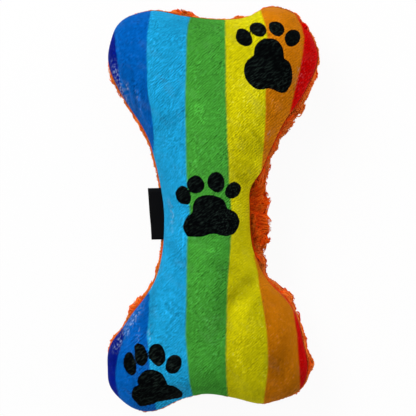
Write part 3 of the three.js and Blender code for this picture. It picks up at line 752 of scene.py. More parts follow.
class NodeMaker:
    """Adds nodes to a tree. Values are numbers, output sockets, or colours as measured on the photograph"""

    def __init__(self, tree):
        self.tree = tree

    def feed(self, socket, value):
        """Links an input socket to an output, or sets it"""
        if isinstance(value, bpy.types.NodeSocket):
            self.tree.links.new(value, socket)
        else:
            socket.default_value = screen_colour(*value) if socket.type == "RGBA" else value

    def node(self, kind, values, **settings):
        """A node with its settings and its input values, by name or number"""
        made = self.tree.nodes.new("ShaderNode" + kind)
        for key, value in settings.items():
            setattr(made, key, value)
        for key, value in values.items():
            self.feed(made.inputs[key], value)
        return made

    def maths(self, operation, first, *others):
        """An operation on two values, and on its result and the next"""
        for other in others:
            first = self.node("Math", {0: first, 1: other}, operation=operation).outputs[0]
        return first

    def times(self, *values):
        return self.maths("MULTIPLY", *values)

    def plus(self, *values):
        return self.maths("ADD", *values)

    def remap(self, value, low, high, to_low, to_high, shape="LINEAR"):
        """A value carried from one range to another and kept inside it"""
        values = {"Value": value, "From Min": low, "From Max": high, "To Min": to_low, "To Max": to_high}
        return self.node("MapRange", values, interpolation_type=shape).outputs["Result"]

    def stored(self, name):
        """The number that a mesh keeps under a name"""
        return self.node("Attribute", {}, attribute_name=name).outputs["Fac"]

    def turned(self, turn, scale):
        """The object's own coordinates, turned and then stretched by unequal scales"""
        own = self.node("TexCoord", {}).outputs["Object"]
        turned = self.node("Mapping", {"Vector": own, "Rotation": turn}).outputs[0]
        return self.node("Mapping", {"Vector": turned, "Scale": scale}).outputs[0]

    def streaks(self, turn, scale, detail=2.0, distortion=0.0):
        """Noise in turned and stretched coordinates"""
        values = {"Vector": self.turned(turn, scale), "Scale": 1.0, "Detail": detail}
        return self.node("TexNoise", values | {"Distortion": distortion}).outputs["Fac"]

    def furrows(self, turn, pitch):
        """Wavering bands a pitch apart, across the turned second axis"""
        once = math.pi / 10 / pitch
        values = {"Vector": self.turned(turn, (once, once, once)), "Scale": 1.0, "Distortion": 5.0}
        values |= {"Detail": 2.0, "Detail Scale": 1.6}
        return self.node("TexWave", values, bands_direction="Y").outputs["Fac"]

    def mix(self, share, first, second, blend_type="MIX"):
        """Two colours mixed"""
        settings = {"data_type": "RGBA", "blend_type": blend_type}
        return self.node("Mix", {0: share, 6: first, 7: second}, **settings).outputs[2]

    def ramp(self, value, stops):
        """A colour ramp through stops of (place, colour)"""
        made = self.node("ValToRGB", {"Fac": value})
        while len(made.color_ramp.elements) < len(stops):
            made.color_ramp.elements.new(1.0)
        for element, (place, colour) in zip(made.color_ramp.elements, stops):
            element.position = place
            element.color = screen_colour(*colour)
        return made.outputs["Color"]


class Finish(NodeMaker):
    """A material whose shader has its plain values set first"""

    def __init__(self, name, colour, roughness, more):
        self.material = bpy.data.materials.new(name)
        self.material.use_nodes = True
        super().__init__(self.material.node_tree)
        self.shader = self.tree.nodes["Principled BSDF"]
        self.give("Base Color", colour)
        self.give("Roughness", roughness)
        for key, value in more.items():
            self.give(key, value)

    def give(self, name, value):
        """Sets or links one input of the shader"""
        self.feed(self.shader.inputs[name], value)

    def mottle(self, noise, dark, pale, pale_from=0.7):
        """Colours the surface from dark to pale by noise"""
        self.give("Base Color", self.ramp(noise, [(0.3, dark), (pale_from, pale)]))

    def raise_grain(self, *heights):
        """Bump nodes in a row, one for each (height socket, strength, millimetres)"""
        values = {}
        for height, strength, distance in heights:
            values |= {"Height": height, "Strength": strength, "Distance": distance * MM}
            values["Normal"] = self.node("Bump", values).outputs[0]
        self.give("Normal", values["Normal"])

    def dress(self, piece):
        """Makes this a piece's only material"""
        piece.data.materials.clear()
        piece.data.materials.append(self.material)


def flat_turn(degrees):
    """A turn about the upright axis"""
    return 0, 0, math.radians(degrees)


NO_TURN = (0, 0, 0)


# %% Nap of the velour
STRIPES = [
    (0, 19, 120), (0, 87, 171), (26, 151, 203), (63, 145, 48), (196, 188, 6), (188, 109, 6), (190, 0, 0),
]
NAP_TURN = flat_turn(-43)
FURROW_PITCH = 1.5 * MM
velour = Finish("velour", STRIPES[2], 0.95, {
    "Sheen Weight": 0.012, "Sheen Roughness": 0.35, "Specular IOR Level": 0.02,
})
nap = velour.times(velour.streaks(NAP_TURN, (480, 1250, 850)), 0.8)
nap = velour.plus(nap, velour.times(velour.furrows(NAP_TURN, FURROW_PITCH), 0.2))
soft_nap = velour.streaks(NAP_TURN, (70, 240, 200))
patches = velour.streaks(NO_TURN, (45, 30, 45))

# %% Print of the velour, whose edges waver with the nap
BORDER_SOFTNESS = 0.006
place = velour.plus(velour.stored("stripe_place"), velour.remap(nap, 0.3, 0.7, -0.012, 0.012))
place = velour.maths("DIVIDE", place, 7.0)
stops = [(0, STRIPES[0])]
for k in range(1, 7):
    stops += [(k / 7 - BORDER_SOFTNESS / 2, STRIPES[k - 1]), (k / 7 + BORDER_SOFTNESS / 2, STRIPES[k])]
print_colour = velour.ramp(place, stops)
paw_edge = velour.plus(velour.stored("paw_distance"), velour.remap(nap, 0.3, 0.7, -0.2, 0.2))
paw_share = velour.remap(paw_edge, 0.25, 0.75, 1, 0, "SMOOTHSTEP")

# %% Light and dark streaks, weaker on yellow, orange and red
uneven = velour.remap(velour.streaks((0, 0, 0.5), (85, 60, 85)), 0.36, 0.62, 0.36, 0.62)
uneven = velour.times(uneven, velour.remap(place, 3.95 / 7, 4.05 / 7, 1.1, 0.7))
shade = velour.plus(velour.times(velour.remap(nap, 0.32, 0.68, -1, 1), uneven), 1.0)
shade = velour.times(shade, velour.remap(soft_nap, 0.3, 0.7, 0.94, 1.06))
shade = velour.times(shade, velour.remap(patches, 0.3, 0.7, 0.95, 1.05))

# %% Hairs that catch the light
hairs = velour.streaks(flat_turn(-52), (380, 1400, 1000), detail=1)
hair_places = velour.remap(patches, 0.35, 0.65, 0.25, 1)
shade = velour.plus(shade, velour.times(velour.remap(hairs, 0.56, 0.68, 0, 0.45), hair_places))
# Painted light and shade from the strokes, the folds and the seam multiply the colour here
shade = velour.times(shade, velour.plus(velour.times(velour.stored("nap_lay"), 1.6), 1.0))
shaded = velour.mix(1.0, print_colour, shade, "MULTIPLY")
brushed = velour.streaks(flat_turn(38), (45, 110, 90), detail=5)
shaded = velour.mix(velour.remap(brushed, 0.55, 0.8, 0, 0.03), shaded, (200, 205, 190))
sparkle = velour.streaks(flat_turn(-75), (320, 1000, 800), detail=1)
# Painted highlight: pale specks where the glint strokes lie
glint_share = velour.times(velour.remap(sparkle, 0.57, 0.63, 0, 0.9), velour.stored("glint"))
shaded = velour.mix(glint_share, shaded, (190, 220, 240))
fleck = velour.times(velour.remap(hairs, 0.64, 0.74, 0, 0.12), hair_places)
shaded = velour.mix(fleck, shaded, (150, 195, 185))

# %% Black of the paws, dusted with paler hairs
paw_hairs = velour.streaks(flat_turn(-33), (240, 1300, 900), detail=1)
dust = velour.times(velour.remap(paw_hairs, 0.5, 0.74, 0, 1), hair_places)
paw_black = velour.mix(dust, (1, 2, 3), (38, 50, 45))
velour.give("Base Color", velour.mix(paw_share, shaded, paw_black))
velour.raise_grain((nap, 0.28, 0.3), (soft_nap, 0.3, 0.5))
velour.dress(front_panel)

# %% [markdown]
# ## The shaggy plush back
# Plush is a knitted cloth with long curled pile. The cloth is one domed sheet under the seam, and its pile
# is a separate layer of curled locks. Real fur would need a million hairs, so one lock stands for a twisted
# tuft of fibres, as thick as the finest strand that the photograph shows.

# %% The knitted ground of the plush
BACK_CROWN = -26
GROUND_FACES = (40, 74)
ground_bm = swollen_sheet(*GROUND_FACES, BACK_CROWN)
turn_in_edge(ground_bm, -SEAM_GAP)
plush_ground = finished_object(ground_bm, "plush_ground")
bake_modifier(plush_ground, "SUBSURF", levels=1, render_levels=1)
bake_modifier(plush_ground, "SOLIDIFY", thickness=VELOUR * MM, offset=-1)
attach(plush_ground, "stuffed_bone")
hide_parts("back_cover")
print("plush ground, faces:", len(plush_ground.data.polygons))

# %% How far the pile stands from the ground
PILE_UNDER = 9.2
UNDER_DEPTH = 16
PILE_SHOWN = [
    (144, 411, 0), (175, 401, 0), (207, 393, 0), (259, 403, 0), (290, 396, 0), (300, 388, 0.2),
    (304, 380, 1.0), (306, 372, 2.0), (307, 364, 3.8), (306, 356, 0.8), (304, 348, 0.3), (302, 341, 2.4),
    (301, 332, 0.3), (299, 324, 0.6), (296, 316, 0.3), (292, 308, 0.3), (289, 305, 1.2), (286, 299, 4.4),
    (280, 292, 1.6), (273, 284, 2.4), (269, 280, 1.2), (266, 276, 0.3), (261, 268, 2.0), (258, 263, 5.0),
    (255, 256, 3.2), (253, 250, 5.6), (251, 244, 14.0), (250, 233, 14.0), (250, 228, 12.0),
    (250, 222, 13.2), (249, 212, 10.4), (249, 208, 11.2), (249, 203, 14.2), (250, 195, 13.6),
    (251, 188, 11.6), (253, 184, 11.0), (255, 180, 7.4), (257, 176, 5.0), (260, 172, 2.4), (263, 164, 2.2),
    (265, 160, 2.4), (267, 156, 0.8), (270, 148, 3.6), (275, 140, 1.8), (278, 132, 2.6), (282, 124, 5.6),
    (287, 116, 3.0), (293, 108, 4.4), (299, 100, 3.0), (304, 92, 1.8), (308, 84, 2.5), (312, 76, 1.0),
    (315, 68, 0.3), (317, 60, 0.8), (317, 52, 0.3), (315, 40, 0.3), (311, 30, 0.3), (300, 16, 0.6),
    (286, 9, 0), (266, 9, 0), (250, 17, 0), (238, 19, 1.4), (230, 20, 0.3), (210, 20, 0), (192, 18, 0.6),
    (183, 16, 3.4), (174, 15, 3.6), (168, 13, 0.3), (150, 11, 0), (126, 18, 0), (113, 34, 0),
    (108, 46, 0.3), (108, 54, 0.8), (109, 62, 0.2), (110, 70, 2.0), (112, 76, 2.4), (115, 84, 2.2),
    (120, 93, 1.0), (124, 100, 1.6), (129, 108, 1.4), (134, 116, 1.4), (140, 124, 2.4), (144, 130, 2.8),
    (147, 136, 1.8), (151, 148, 1.8), (154, 157, 1.8), (156, 165, 1.8), (158, 173, 1.8), (159, 180, 1.8),
    (161, 186, 1.6), (162, 194, 2.4), (164, 215, 2.4), (164, 235, 1.6), (163, 244, 2.0), (162, 252, 2.6),
    (161, 260, 2.2), (159, 268, 2.2), (156, 276, 1.6), (153, 284, 1.4), (148, 292, 1.4), (144, 297, 1.0),
    (142, 300, 3.0), (139, 304, 2.4), (136, 308, 4.2), (133, 312, 4.4), (130, 316, 2.4), (124, 323, 0.3),
    (119, 330, 0.2), (113, 338, 0.5), (110, 345, 0.7), (108, 352, 0.9), (107, 360, 0.5), (108, 368, 0.2),
    (110, 380, 0), (118, 396, 0),
]
LEAST_PILE = 0.3
LEAST_LEVEL = 0.2
pile_at_edge = around_edge(PILE_SHOWN)


def nearest_edges(places):
    """The edge's point nearest to each place, seen from above"""
    found = []
    for first in range(0, len(places), CHUNK):
        near = places[first:first + CHUNK, None, :2] - edge_places[None, :, :2]
        found.append((near ** 2).sum(-1).argmin(1))
    return np.concatenate(found)


def seen_outward(drop, outward):
    """How far outward the camera, which looks from one side, sees a point that lies a drop below the seam"""
    return drop * (CAMERA_TILT_RIGHT * outward[:, 0] + CAMERA_TILT_UP * outward[:, 1])


def pile_stand(places, normals):
    """Millimetres from the ground at places to the tips of the pile, held in where the outline shows it"""
    nearest = nearest_edges(places)
    outward, shown = edge_normal[nearest], pile_at_edge[nearest]
    drop = (SEAM_HEIGHT - places[:, 2]) / MM
    under = np.clip(drop / UNDER_DEPTH, 0, 1)
    under = under * under * (3 - 2 * under)
    inset = dots(edge_places[nearest, :2] - places[:, :2], outward) / MM
    level = np.maximum(dots(normals[:, :2], outward), LEAST_LEVEL)
    most = np.maximum((shown + inset - seen_outward(drop, outward)) / level, LEAST_PILE)
    return np.clip(shown * (1 - under) + PILE_UNDER * under, LEAST_PILE, most)


def spread_apart(points, count):
    """Points chosen one by one, each as far as possible from those before"""
    chosen = [0]
    nearest = np.linalg.norm(points - points[0], axis=1)
    while len(chosen) < count:
        chosen.append(int(np.argmax(nearest)))
        nearest = np.minimum(nearest, np.linalg.norm(points - points[chosen[-1]], axis=1))
    return np.array(chosen)


# %% Fluff up the underfur
TUFT_COUNT = 420
TUFT_REACH = 4.6 * MM
TUFT_FLANK = 1.4
FUR_LOW = 0.76
FUR_HIGH = 1.05
FUR_SLOPE = 2.2 * MM
FUR_UNDER_SEAM = 0.6 * MM
FUR_CLEAR = 0.5 * MM
FUR_FACES = (80, 148)
fur_bm = swollen_sheet(*FUR_FACES, BACK_CROWN)
inner_side = fur_bm.copy()
bmesh.ops.reverse_faces(inner_side, faces=inner_side.faces)
underfur = finished_object(fur_bm, "pile_underfur")
fur_base = mesh_places(underfur)
fur_normals = mesh_normals(underfur)
fur_stand = pile_stand(fur_base, fur_normals)
tuft_at = spread_apart(fur_base, TUFT_COUNT)
tufts, tuft_normals = fur_base[tuft_at], fur_normals[tuft_at]
to_tuft = np.full(len(fur_base), np.inf)
for tuft in tufts:
    to_tuft = np.minimum(to_tuft, np.linalg.norm(fur_base - tuft, axis=1))
lump = np.exp(-(to_tuft / TUFT_REACH) ** TUFT_FLANK)
from_seam = np.clip((SEAM_HEIGHT - SEAM_GAP * MM - fur_base[:, 2]) / FUR_SLOPE, 0, 1)
fluffed = fur_stand * (FUR_LOW + (FUR_HIGH - FUR_LOW) * lump) * np.sin(from_seam * math.pi / 2)
fur_places = fur_base + fur_normals * (fluffed * MM)[:, None]
fur_top = SEAM_HEIGHT - FUR_UNDER_SEAM * np.minimum(from_seam * 3, 1)
fur_places[:, 2] = np.clip(fur_places[:, 2], FUR_CLEAR, fur_top)
move_vertices(underfur, fur_places)
face_corners = np.array([list(face.vertices) for face in underfur.data.polygons])
both_sides = bmesh.new()
both_sides.from_mesh(underfur.data)
append_copy(both_sides, inner_side)
bmesh.ops.remove_doubles(both_sides, verts=both_sides.verts, dist=0.000001)
both_sides.to_mesh(underfur.data)
both_sides.free()
underfur.data.shade_smooth()
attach(underfur, "stuffed_bone")
print("underfur, faces:", len(underfur.data.polygons), "stands, mm:", round(fluffed.max(), 1))

# %% Model four curled locks
LOCK_BANDS = 6
LOCK_SIDES = 3
LOCK_CURLS = [(1.1, 0.9), (0.8, 1.3), (1.4, 0.7), (0.5, 1.5)]
LOCK_ROOT = 0.75
LOCK_BELLY = 0.5
LOCK_TAPER = 0.62


def curled_lock(turns, curl):
    """A lock from its root at height 0 to its thin tip at height 1, fullest between, with a helix in it"""
    bm = bmesh.new()
    bmesh.ops.create_circle(bm, cap_ends=True, radius=1, segments=LOCK_SIDES)
    bm.faces.ensure_lookup_table()
    top = bm.faces[0]
    for _ in range(LOCK_BANDS):
        made = bmesh.ops.extrude_face_region(bm, geom=[top])
        top = next(item for item in made["geom"] if isinstance(item, bmesh.types.BMFace))
        bmesh.ops.translate(bm, vec=(0, 0, 1 / LOCK_BANDS), verts=list(top.verts))
    bmesh.ops.recalc_face_normals(bm, faces=bm.faces)
    for vert in bm.verts:
        share = vert.co.z
        width = LOCK_ROOT + LOCK_BELLY * math.sin(math.pi * share) - LOCK_TAPER * share ** 2
        angle = 2 * math.pi * turns * share
        away = curl * share ** 0.7
        vert.co.x = vert.co.x * width + math.cos(angle) * away - away * 0.5
        vert.co.y = vert.co.y * width + math.sin(angle) * away
    return bm


handful = bmesh.new()
for turns, curl in LOCK_CURLS:
    append_copy(handful, curled_lock(turns, curl))
lock_corners = len(handful.verts) // len(LOCK_CURLS)
print("one lock:", lock_corners, "corners,", len(handful.faces) // len(LOCK_CURLS), "faces")

# %% [markdown]
# ## Where each lock grows
# Roots are spread over the underfur by area, more than twice as many near the seam, where the camera comes
# close. Locks lie in swirls as a hand leaves them. The locks of one curl are drawn together at the tips, and
# lean a little towards the peak of a tuft, which gives the outline its scallops. The floor presses them flat.

# %% Spread the roots
PILE_LENGTH = 9.5
LOCKS_EACH = 4096
PILE_PIECES = ["pile_lower_knob", "pile_lower_shank", "pile_upper_shank", "pile_upper_knob"]
NEAR_SEAM = 7 * MM
SEAM_CROWDING = 2.4
dice = np.random.default_rng(7)


def even_spread(corners, count):
    """Points spread by area over faces of four corners, crowded near the seam, with normals and faces"""
    normals = np.cross(corners[:, 2] - corners[:, 0], corners[:, 3] - corners[:, 1])
    area = np.linalg.norm(normals, axis=1)
    close = corners[:, :, 2].mean(1) > SEAM_HEIGHT - NEAR_SEAM
    reach = np.cumsum(area * np.where(close, SEAM_CROWDING, 1.0))
    wanted = (np.arange(count) + dice.random(count)) / count * reach[-1]
    chosen = np.minimum(np.searchsorted(reach, wanted), len(corners) - 1)
    u, v = dice.random((2, count, 1))
    corners = corners[chosen]
    low = corners[:, 0] * (1 - u) + corners[:, 1] * u
    high = corners[:, 3] * (1 - u) + corners[:, 2] * u
    return low * (1 - v) + high * v, unit(normals)[chosen], chosen


roots, normals, root_face = even_spread(fur_places[face_corners], LOCKS_EACH * len(PILE_PIECES))
order = np.argsort(roots[:, 1])
roots, normals, root_at = roots[order], normals[order], face_corners[root_face[order], 0]
print("roots:", len(roots))

# %% Gather the locks into curls
CURL_COUNT = 1500
curl_at = spread_apart(roots, CURL_COUNT)
curl_tree = KDTree(CURL_COUNT)
for k, at in enumerate(curl_at):
    curl_tree.insert(roots[at], k)
curl_tree.balance()
own_curl = np.array([curl_tree.find(root)[1] for root in roots])
own_tuft = np.linalg.norm(roots[curl_at][:, None] - tufts[None], axis=2).argmin(1)[own_curl]
print("locks in a curl:", round(len(roots) / CURL_COUNT))

# %% Comb the locks
LOCK_WIDTH = 0.42
LOCK_RISE = 0.1
COMB_DOWN = -0.35
CURL_PULL = 0.62
TUFT_PULL = 0.2
TUFT_HIGH = 1.12
SWIRL = 24 * MM
SWIRL_TURN = 1.2
CURL_SCATTER = 0.35
LOCK_SCATTER = 0.1
FULL_STAND = 4.5
CURL_TONE = 0.65
LOCK_TONE = 0.35
# Painted light and shade on the pile: darker beside the seam and in a hollow, where shade falls, lighter on
# rims
PILE_SHADE = [
    ([(253, 182), (251, 190), (250, 215), (253, 250)], 3.4, -1.1),
    ([(256, 205), (258, 230), (258, 264)], 5.0, -0.7),
    ([(318, 48), (314, 74), (303, 102)], 4.0, 0.9),
    ([(298, 106), (288, 122), (277, 144), (269, 166)], 3.0, -0.6),
    ([(270, 283), (279, 291), (290, 300)], 3.0, -0.5),
    ([(280, 288), (300, 325), (306, 358), (302, 388)], 4.0, 0.9),
    ([(250, 248), (255, 257), (259, 264)], 3.4, -1.3),
    ([(266, 180), (268, 212), (267, 244)], 3.0, 0.4),
    ([(150, 286), (138, 300), (126, 318)], 8.0, 0.9),
    ([(120, 94), (136, 118), (152, 150)], 5.0, 0.8),
    ([(158, 240), (158, 262), (154, 280)], 5.0, 0.8),
]


def for_each_lock(curl_values):
    """A number or place of each curl, given to all of its locks"""
    return curl_values[own_curl]


root_edge = nearest_edges(roots)
stand = fur_stand[root_at]
wave = roots[curl_at] * 2 * math.pi / SWIRL
swirl = np.sin(wave[:, 0] + 1.3 * np.sin(wave[:, 1]))
swirl = swirl + np.sin(0.8 * wave[:, 1] + 1.7 * np.sin(0.7 * wave[:, 0]))
swirl = for_each_lock(swirl * SWIRL_TURN + dice.normal(0, CURL_SCATTER, CURL_COUNT))
swirl = swirl + dice.normal(0, LOCK_SCATTER, len(roots))
comb = edge_normal[for_each_lock(root_edge[curl_at])]
comb = np.column_stack([comb, np.full(len(roots), COMB_DOWN)])
comb = unit(comb - normals * dots(comb, normals)[:, None])
comb = comb * np.cos(swirl)[:, None] + np.cross(normals, comb) * np.sin(swirl)[:, None]
curl_length = for_each_lock(dice.uniform(0.8, 1.2, CURL_COUNT))
length = PILE_LENGTH * np.clip((stand + 0.4) / FULL_STAND, 0.2, 1)
length = length * curl_length * dice.uniform(0.9, 1.1, len(roots))
tips = roots + (comb + normals * LOCK_RISE) * (length * MM)[:, None]
curl_pull = CURL_PULL * dice.uniform(0.7, 1.2, len(roots))
tips += (for_each_lock(tips[curl_at]) - tips) * curl_pull[:, None]
tuft_tips = tufts + tuft_normals * (fur_stand[tuft_at] * TUFT_HIGH * MM)[:, None]
tuft_pull = TUFT_PULL * for_each_lock(dice.uniform(0.5, 1.5, CURL_COUNT)) * np.clip(stand / 5, 0, 1)
tips += (tuft_tips[own_tuft] - tips) * tuft_pull[:, None]
tone = dice.uniform(0, 1, len(roots)) * LOCK_TONE
tone = tone + for_each_lock(dice.uniform(0, 1, CURL_COUNT)) * CURL_TONE
# Painted shade and light from the strokes, added to the random tone of each lock and curl
tone += add_strokes(photo_places(roots), PILE_SHADE)
thin = np.clip(1.1 - stand / 6, 0, 1)
print("locks, mm long:", round(length.min(), 1), "to", round(length.max(), 1))

# %% Trim the locks to the outline that the photograph shows, and bend them
TRIM_SHARE = 0.85
TRIM_SLACK = 0.4
BEND_RISE = 0.22
BEND_ALONG = 0.45
CURL_SWEEP = 0.16
LOCK_SWEEP = 0.05
tip_edge = nearest_edges(tips)
tip_normal = edge_normal[tip_edge]
tip_out = dots(tips[:, :2] - edge_places[tip_edge, :2], tip_normal) / MM
tip_out += seen_outward((SEAM_HEIGHT - tips[:, 2]) / MM, tip_normal)
kept = pile_at_edge[tip_edge] * for_each_lock(dice.uniform(0.7, 1.4, CURL_COUNT)) + TRIM_SLACK
excess = np.maximum(tip_out - kept, 0) * TRIM_SHARE
tips[:, :2] -= tip_normal * (excess * MM)[:, None]
sweep = for_each_lock(dice.normal(0, CURL_SWEEP, CURL_COUNT)) + dice.normal(0, LOCK_SWEEP, len(roots))
bends = normals * BEND_RISE + comb * BEND_ALONG + np.cross(normals, comb) * sweep[:, None]
bends = roots + bends * (length * MM)[:, None]
print("locks trimmed, mm:", round(excess.max(), 1))

# %% Write the locks into four layers of pile
FLOOR_CLEAR = 0.4 * MM
FLOOR_GIVE = 1.0 * MM
SEAM_CLEAR = 0.3 * MM
for k, name in enumerate(PILE_PIECES):
    pile_bm = handful.copy()
    while len(pile_bm.verts) < LOCKS_EACH * lock_corners:
        append_copy(pile_bm, pile_bm.copy())
    pile = finished_object(pile_bm, name)
    shape = mesh_places(pile).reshape(LOCKS_EACH, lock_corners, 3)
    mine = slice(k * LOCKS_EACH, (k + 1) * LOCKS_EACH)
    root, bend, tip = (a[mine][:, None, :] for a in (roots, bends, tips))
    t = shape[:, :, 2:3]
    core = root * (1 - t) ** 2 + bend * 2 * t * (1 - t) + tip * t ** 2
    run = unit(tips[mine] - roots[mine])
    sideways = unit(np.cross(run, dice.normal(size=run.shape)))
    upright = np.cross(run, sideways)
    slim = np.clip(length[mine] / PILE_LENGTH, 0.5, 1) * dice.uniform(0.75, 1.25, LOCKS_EACH)
    around = shape[:, :, 0:1] * sideways[:, None] + shape[:, :, 1:2] * upright[:, None]
    places = core + around * (LOCK_WIDTH * MM * slim)[:, None, None]
    edge = root_edge[mine]
    beyond = dots(places[..., :2] - edge_places[edge, None, :2], edge_normal[edge, None])
    ceiling = SEAM_HEIGHT - SEAM_CLEAR + 0.1 * np.maximum(beyond, 0)
    places[..., 2] = np.minimum(places[..., 2], ceiling)
    pressed = (places[..., 2] - FLOOR_CLEAR) / FLOOR_GIVE
    places[..., 2] = FLOOR_CLEAR + FLOOR_GIVE * np.logaddexp(0, pressed)
    move_vertices(pile, places.reshape(-1, 3))
    store_numbers(pile, "along", t.reshape(-1))
    store_numbers(pile, "tone", np.repeat(tone[mine], lock_corners))
    store_numbers(pile, "thin", np.repeat(thin[mine], lock_corners))
    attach(pile, "stuffed_bone")
handful.free()

# %% Orange plush
FUR_FINISH = {
    "Sheen Weight": 0.5, "Sheen Roughness": 0.6, "Sheen Tint": (255, 120, 30), "Specular IOR Level": 0.1,
}
ground_orange = Finish("plush_ground", (230, 70, 4), 0.95, {"Sheen Weight": 0.3})
knit = ground_orange.streaks(NO_TURN, (900, 900, 900))
ground_orange.mottle(knit, (214, 58, 2), (244, 84, 6))
ground_orange.raise_grain((knit, 0.4, 0.5))
ground_orange.dress(plush_ground)

plush = Finish("plush_pile", (222, 70, 8), 0.85, FUR_FINISH)
fibres = plush.streaks(NO_TURN, (1500, 1500, 1500))
# Painted shade: darker near the roots, among the locks, and paler towards the lit tips
lit = plush.ramp(plush.stored("along"), [
    (0.0, (232, 58, 0)), (0.4, (246, 84, 2)), (0.8, (254, 106, 10)), (1.0, (255, 140, 50)),
])
lit = plush.mix(plush.times(plush.stored("thin"), 0.8), lit, (255, 160, 68))
# Random tone and painted light and shade together darken or lighten the pile
tint_and_shade = plush.remap(plush.stored("tone"), -1, 1.5, 0.55, 1.25)
tint_and_shade = plush.times(tint_and_shade, plush.remap(fibres, 0.3, 0.7, 0.92, 1.08))
plush.give("Base Color", plush.mix(1.0, lit, tint_and_shade, "MULTIPLY"))
for name in PILE_PIECES:
    plush.dress(bpy.data.objects[name])

fluff = Finish("plush_underfur", (214, 56, 2), 0.9, FUR_FINISH)
curls = fluff.streaks((0.4, 0.3, 0.2), (240, 900, 600), detail=3, distortion=2.2)
curl_orange = fluff.ramp(curls, [(0.3, (220, 50, 0)), (0.5, (242, 74, 0)), (0.68, (254, 100, 10))])
fluff.give("Base Color", curl_orange)
fluff.raise_grain((curls, 0.7, 1.0))
fluff.dress(underfur)

# %% [markdown]
# ## The side label
# The label is a woven ribbon, folded in half with its fold outward and both tails sewn into the seam. The
# ribbon is laid as a grid along that path and given its thickness, with selvedges that are a little paler.
# It is laid out from the label's joint, along the joint's axis.

# %% Lay the folded ribbon
LABEL_LENGTH = 40
LABEL_OUT = 9.9
LABEL_LEAN = 0.04
LABEL_SHIFT = 2.0
LABEL_OPENING = 0.75
LABEL_RIPPLES = [(0.35, 6.5, 0), (0.2, 3.1, 1)]
RIBBON = 0.4
RIBBON_ROWS = 56
RIBBON_STEPS = 72
LOWER_LAYER = [
    (-5, -0.3), (-3, -0.32), (-1, -0.42), (0.8, -0.6), (2.6, -0.72), (4.4, -0.78), (6.2, -0.78), (7.8, -0.76),
]
label_joint = next(joint for joint in frame["joints"] if joint["name"] == "label_swing")
label_root = Vector(label_joint["pos_m"])
label_along = Vector(label_joint["axis"])
label_outward = Vector((-label_along.y, label_along.x, 0)).normalized()
fold_turn = np.linspace(-math.pi / 2, math.pi / 2, 9)
fold_out = LABEL_OUT - LABEL_OPENING + LABEL_OPENING * np.cos(fold_turn)
fold = np.column_stack([fold_out, LABEL_OPENING * np.sin(fold_turn)])
upper_layer = [(out, -height) for out, height in reversed(LOWER_LAYER)]
ribbon_path = np.vstack([LOWER_LAYER, fold, upper_layer])
ribbon_run = run_along(ribbon_path)
ribbon_bm = bmesh.new()
bmesh.ops.create_grid(ribbon_bm, x_segments=RIBBON_STEPS, y_segments=RIBBON_ROWS, size=1, calc_uvs=True)
for vert in ribbon_bm.verts:
    run = (vert.co.x + 1) / 2 * ribbon_run[-1]
    along = vert.co.y * LABEL_LENGTH / 2 + LABEL_SHIFT
    out, height = (np.interp(run, ribbon_run, ribbon_path[:, axis]) for axis in (0, 1))
    flap = min(max(out / LABEL_OUT, 0), 1)
    out += flap * LABEL_LEAN * along
    height += flap * sum(high * math.sin(along / span + start) for high, span, start in LABEL_RIPPLES)
    vert.co = label_root + label_outward * out * MM + label_along * along * MM + Vector((0, 0, height * MM))
bmesh.ops.recalc_face_normals(ribbon_bm, faces=ribbon_bm.faces)
label_ribbon = finished_object(ribbon_bm, "label_ribbon")
run_share = np.tile(np.linspace(0, 1, RIBBON_STEPS + 1), RIBBON_ROWS + 1)
store_numbers(label_ribbon, "ribbon_run", run_share * ribbon_run[-1])
ribbon_across = (mesh_places(label_ribbon) - np.array(label_root)) @ np.array(label_along) / MM
store_numbers(label_ribbon, "ribbon_across", ribbon_across)
bake_modifier(label_ribbon, "SOLIDIFY", thickness=RIBBON * MM, offset=0)
print("label ribbon, mm of ribbon:", round(ribbon_run[-1], 1), "faces:", len(label_ribbon.data.polygons))

# %% Black woven ribbon
WEFT_PITCH = 0.55
WARP_PITCH = 0.4
SELVEDGE = (LABEL_LENGTH / 2 - 1.2, LABEL_LENGTH / 2 - 0.8)
satin = Finish("woven_ribbon", (5, 5, 6), 0.6, {"Sheen Weight": 0.02, "Specular IOR Level": 0.04})
weft = satin.maths("SINE", satin.times(satin.stored("ribbon_across"), 2 * math.pi / WEFT_PITCH), 0.0)
warp = satin.maths("SINE", satin.times(satin.stored("ribbon_run"), 2 * math.pi / WARP_PITCH), 0.0)
weave = satin.times(satin.remap(weft, -1, 1, 0, 1), satin.remap(warp, -1, 1, 0, 1))
selvedge = satin.remap(satin.maths("ABSOLUTE", satin.stored("ribbon_across"), 0.0), *SELVEDGE, 0, 0.5)
ribbon_black = satin.mix(weave, (1, 1, 2), (10, 10, 12))
satin.give("Base Color", satin.mix(selvedge, ribbon_black, (14, 14, 16)))
satin.raise_grain((weave, 0.6, 0.12))
satin.dress(label_ribbon)
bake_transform(label_ribbon)
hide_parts("label")

# %% [markdown]
# ## Threads in the seam
# The machine seam is a row of stitches a little inside the edge, and the gap through which the toy was
# stuffed is closed by slanting hand stitches. One rounded stitch is modelled and repeated along the line,
# because separate stitches, which dip at their ends, are what makes a sewn line look sewn.

# %% Model one stitch
THREAD_RADIUS = 0.4
THREAD_FLATNESS = 0.7
STITCH_ARCH = 0.25
STITCH_SIDES = 6
END_INSET = 0.35
END_BULGE = 0.16


def stitch_shape():
    """A short round-ended thread along X, one unit long and one unit in radius"""
    bm = bmesh.new()
    bmesh.ops.create_cone(bm, cap_ends=True, segments=STITCH_SIDES, radius1=1, radius2=1, depth=1)
    ends = [face for face in bm.faces if len(face.verts) == STITCH_SIDES]
    for _ in range(2):
        bmesh.ops.inset_region(bm, faces=ends, thickness=END_INSET, use_even_offset=True)
    for vert in bm.verts:
        reach = math.hypot(vert.co.x, vert.co.y)
        if reach < 0.9:
            vert.co.z += math.copysign((1 - reach) * END_BULGE, vert.co.z)
    bmesh.ops.rotate(bm, matrix=Matrix.Rotation(math.radians(90), 3, "Y"), verts=bm.verts)
    return bm


